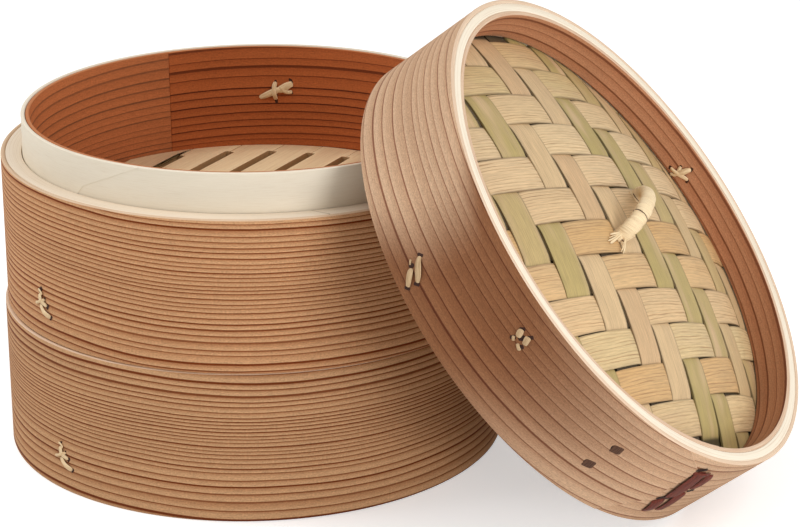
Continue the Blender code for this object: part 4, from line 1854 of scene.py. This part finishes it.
    def build_bark(self) -> None:
        """The bark lacing over the lap, and two bark pegs."""
        lace = Stitch("lid_bark_lace", self.radius + 0.0003, (
            pit(-35.6, 40.4, 2.4, 1.4), pit(-32.0, 19.0, 2.2, 1.2),
            pit(-28.8, 26.2, 2.0, 0.8), pit(-34.0, 18.4, 2.4, 1.0),
            bark((-35.0, 39.4, -0.1), (-34.4, 36.5, 0.5), (-33.4, 29.0, 0.7), (-32.6, 22.0, 0.5),
                 (-32.2, 19.4, -0.1), width=6.4),
            bark((-31.0, 38.6, -0.1), (-30.4, 36.0, 0.3), (-29.8, 31.0, 0.4), (-29.4, 27.4, -0.1),
                 width=4.4, thick=0.6),
            bark((-30.6, 23.8, -0.1), (-30.0, 21.5, 0.4), (-29.2, 15.0, 0.5), (-28.6, 9.6, -0.1), width=5.2),
            bark((-34.0, 17.0, -0.1), (-33.4, 15.5, 0.4), (-32.6, 11.5, 0.5), (-32.0, 8.2, -0.1), width=5.8),
            bark((-36.6, 37.4, 0.0), (-34.4, 38.8, 0.9), (-31.6, 39.2, 0.0), width=2.2, thick=0.6),
        ))
        rows = [(lace, Finish.BARK, "bark")]
        for number, (angle, height) in enumerate(((-57.3, 17.2), (-56.6, 29.7)), 1):
            strands = tuple(
                Strand(((angle - 0.3, height + half, low), (angle, height, high),
                        (angle + 0.3, height - half, low)), width, thick, hole_shade, 40.0)
                for half, low, high, width, thick, hole_shade in (
                    (3.0, 0.02, 0.08, 6.4, 0.2, True), (2.1, 0.05, 0.26, 5.0, 0.3, False))
            )
            rows.append((Stitch(f"lid_bark_peg_{number}", self.radius, strands), Finish.PEG, "bark"))
        install_built(rows, self.matrix(), self.body)


# ---------------------------------------------------------------- studio


@dataclass
class Studio:
    """Pale floor, soft lights and the camera.

    Attributes:
        camera_place: Where the camera stands.
        camera_turn: Its turn about X, Y and Z.
        lens_mm: Its focal length on a 36 mm sensor.
        sky: Strength of the even light from all round.
        glow: How much the floor is lifted to white where the camera sees it.
        base: Middle and radius of the lower tier's foot, where the floor isn't lifted.
        floor_size: Width of the floor.
        aim: What the lamps point at.
        lamps: Azimuth, elevation, distance, size and power of each lamp.
    """

    camera_place: Knot = (0.39056, -0.97393, 0.45558)
    camera_turn: Knot = (70.403, 0.321, 21.510)
    lens_mm: float = 121.346
    sky: float = 0.50
    glow: float = 0.46
    base: Knot = (-0.064968, 0.006806, 0.104)
    floor_size: float = 8.0
    aim: Knot = (0.0, 0.0, 0.07)
    lamps: tuple[tuple[str, float, float, float, float, float], ...] = (
        ("left_softbox", -160.0, 38.0, 1.5, 1.0, 11.5),
        ("right_softbox", -8.0, 42.0, 1.5, 0.9, 7.8),
        ("low_fill", -35.0, 4.0, 1.3, 0.5, 7.2),
    )

    def build(self) -> None:
        """Sets up the floor, the world, the lamps and the camera."""
        self.build_floor()
        self.build_world()
        self.build_lamps()
        self.build_camera()
        bpy.context.scene.view_settings.view_transform = "Standard"

    def build_floor(self) -> None:
        """A wide pale floor that keeps the set's shadow."""
        clear_choice()
        bpy.ops.mesh.primitive_plane_add(size=self.floor_size)
        floor = bpy.context.active_object
        floor.name = "floor"
        bench = NodeBench(bpy.data.materials.new("floor_paper"))
        spot = bench.node("ShaderNodeTexCoord").outputs["Object"]
        tooth = bench.wire("ShaderNodeTexNoise", None, {"Vector": spot, "Scale": 60.0, "Detail": 3.0})
        paper = bench.mix(tooth, (0.80, 0.80, 0.80), (0.82, 0.82, 0.82))
        matt = bench.node("ShaderNodeBsdfDiffuse", None, {"Color": paper})
        glow = bench.node("ShaderNodeEmission", None, {"Color": WHITE, "Strength": self.glow})
        lit = bench.node("ShaderNodeAddShader", None, {0: matt.outputs[0], 1: glow.outputs[0]})
        split = bench.node("ShaderNodeSeparateXYZ", None, {0: spot})
        east = Wire(bench, split.outputs[0]) - self.base[0]
        north = Wire(bench, split.outputs[1]) - self.base[1]
        away = (east * east + north * north).apply("SQRT")
        seen = bench.wire("ShaderNodeLightPath") * bench.step(away, self.base[2] - 0.006, self.base[2])
        mixed = bench.node("ShaderNodeMixShader", None, {0: seen, 1: matt.outputs[0], 2: lit.outputs[0]})
        bench.node("ShaderNodeOutputMaterial", None, {0: mixed.outputs[0]})
        floor.data.materials.append(bench.material)

    def build_world(self) -> None:
        """Even light, and white wherever the camera sees past the floor."""
        world = bpy.data.worlds.new("studio")
        bpy.context.scene.world = world
        bench = NodeBench(world)
        even, white = (
            bench.node("ShaderNodeBackground", None, {"Color": WHITE, "Strength": strength})
            for strength in (self.sky, 1.0)
        )
        path = bench.node("ShaderNodeLightPath")
        sockets = {0: path.outputs["Is Camera Ray"], 1: even.outputs[0], 2: white.outputs[0]}
        choose = bench.node("ShaderNodeMixShader", None, sockets)
        bench.node("ShaderNodeOutputWorld", None, {0: choose.outputs[0]})

    def build_lamps(self) -> None:
        """Soft square lamps aimed at the set."""
        aim = Vector(self.aim)
        for name, azimuth, elevation, distance, size, power in self.lamps:
            data = bpy.data.lights.new(name, "AREA")
            data.shape = "SQUARE"
            data.size = size
            data.energy = power
            lamp = bpy.data.objects.new(name, data)
            bpy.context.collection.objects.link(lamp)
            turn, rise = math.radians(azimuth), math.radians(elevation)
            way = Vector((math.cos(turn) * math.cos(rise), math.sin(turn) * math.cos(rise), math.sin(rise)))
            lamp.location = aim + way * distance
            lamp.rotation_euler = way.to_track_quat("Z", "Y").to_euler()

    def build_camera(self) -> None:
        """The camera, at the set's viewing angle."""
        data = bpy.data.cameras.new("camera")
        data.sensor_width = SENSOR_MM
        data.lens = self.lens_mm
        camera = bpy.data.objects.new("camera", data)
        bpy.context.collection.objects.link(camera)
        camera.location = self.camera_place
        camera.rotation_euler = tuple(math.radians(turn) for turn in self.camera_turn)
        bpy.context.scene.camera = camera


# ---------------------------------------------------------------- the set


def tier_stitches(prefix: str, lap: float) -> tuple[Stitch, ...]:
    """The three stitches of a tier.

    Args:
        prefix: First part of their names.
        lap: Angle of the lap stitch.

    Returns:
        The stitches.
    """
    lapped = Stitch(f"{prefix}_lap_stitch", 0.1050, (
        pit(-1.0, 20.6, 2.4, 0.7), pit(1.6, 14.6, 2.2, 0.4), pit(2.7, 10.4, 2.0, 0.4),
        pit(-1.8, 17.4, 1.4), pit(0.6, 17.6, 1.2),
        cane((-1.7, 20.2, 0.1), (-1.0, 20.8, 0.7), (-0.1, 19.8, 0.7), (-0.6, 18.6, 0.2),
             width=0.9, thick=0.5),
        cane((-1.1, 19.2, 0.0), (-0.8, 18.0, 0.7), (-0.1, 16.2, 0.9), (1.5, 14.6, 0.1),
             width=2.2, thick=0.8),
        cane((-3.0, 14.2, 0.4), (-1.8, 15.0, 0.9), (-0.4, 16.2, 1.2), (0.9, 17.4, 0.3),
             width=1.3, thick=0.6),
        cane((-1.0, 14.8, 0.3), (0.2, 13.0, 0.9), (1.5, 11.6, 0.9), (2.7, 10.4, 0.0),
             width=2.3, thick=0.8),
    ), at=lap)
    rim = Stitch(f"{prefix}_rim_stitch", 0.0924, (
        pit(-4.4, 63.0, 2.6, 0.6), pit(-0.1, 62.4, 2.0, 0.1),
        pit(-0.2, 53.6, 2.4, 0.2), pit(-4.6, 57.6, 1.8),
        cane((4.6, 55.0, 0.3), (2.4, 56.6, 1.0), (-0.2, 58.6, 1.3), (-1.6, 59.2, 0.6),
             width=2.8, thick=0.8),
        cane((-0.6, 58.2, 0.6), (-2.2, 59.6, 1.0), (-3.6, 61.0, 1.0), (-5.0, 61.8, 0.2),
             width=3.4, thick=0.8),
        cane((-1.0, 60.6, 0.8), (-2.4, 58.8, 1.1), (-3.6, 57.8, 0.8), (-4.8, 58.0, 0.2),
             width=2.0, thick=0.7),
        cane((-0.1, 62.6, 0.0), (0.3, 60.0, 1.3), (0.2, 57.0, 1.8), (-0.2, 54.0, 0.1),
             width=2.0, thick=0.8),
    ), True, lap + RIM_STITCH_TURN)
    tails = Stitch(f"{prefix}_tail_stitch", 0.1050, (
        pit(-2.2, 19.4, 1.5), pit(2.2, 11.0, 1.5),
        cane((-2.2, 19.4, 0.0), (-1.0, 17.2, 0.7), (0.8, 13.6, 0.7), (2.2, 11.0, 0.0),
             width=1.7, thick=0.8),
        cane((-1.9, 12.6, 0.1), (-0.4, 14.8, 0.9), (1.6, 17.0, 0.1), width=1.4, thick=0.7),
    ), at=lap + TAIL_STITCH_TURN)
    return lapped, rim, tails


def main() -> None:
    """Builds the tiers, the lid and the studio."""
    logging.basicConfig(level=logging.INFO, format="%(name)s: %(message)s")
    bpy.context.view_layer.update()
    back_lap = Lap(((0.0, 34.0), (0.0632, 34.0)), 0.0003, 50.0)
    lower = Tier("lower", (-0.064968, 0.006806, 0.0), 38.0, Finish.LOWER_WALL, back_lap,
                 tier_stitches("lower", -113.8), 3)
    upper = Tier("upper", (-0.063368, 0.006406, 0.0635), 84.6, Finish.UPPER_WALL, back_lap,
                 tier_stitches("upper", -120.0), 17)
    for part in (lower, upper, Lid()):
        part.build()
    Studio().build()


if __name__ == "__main__":
    main()
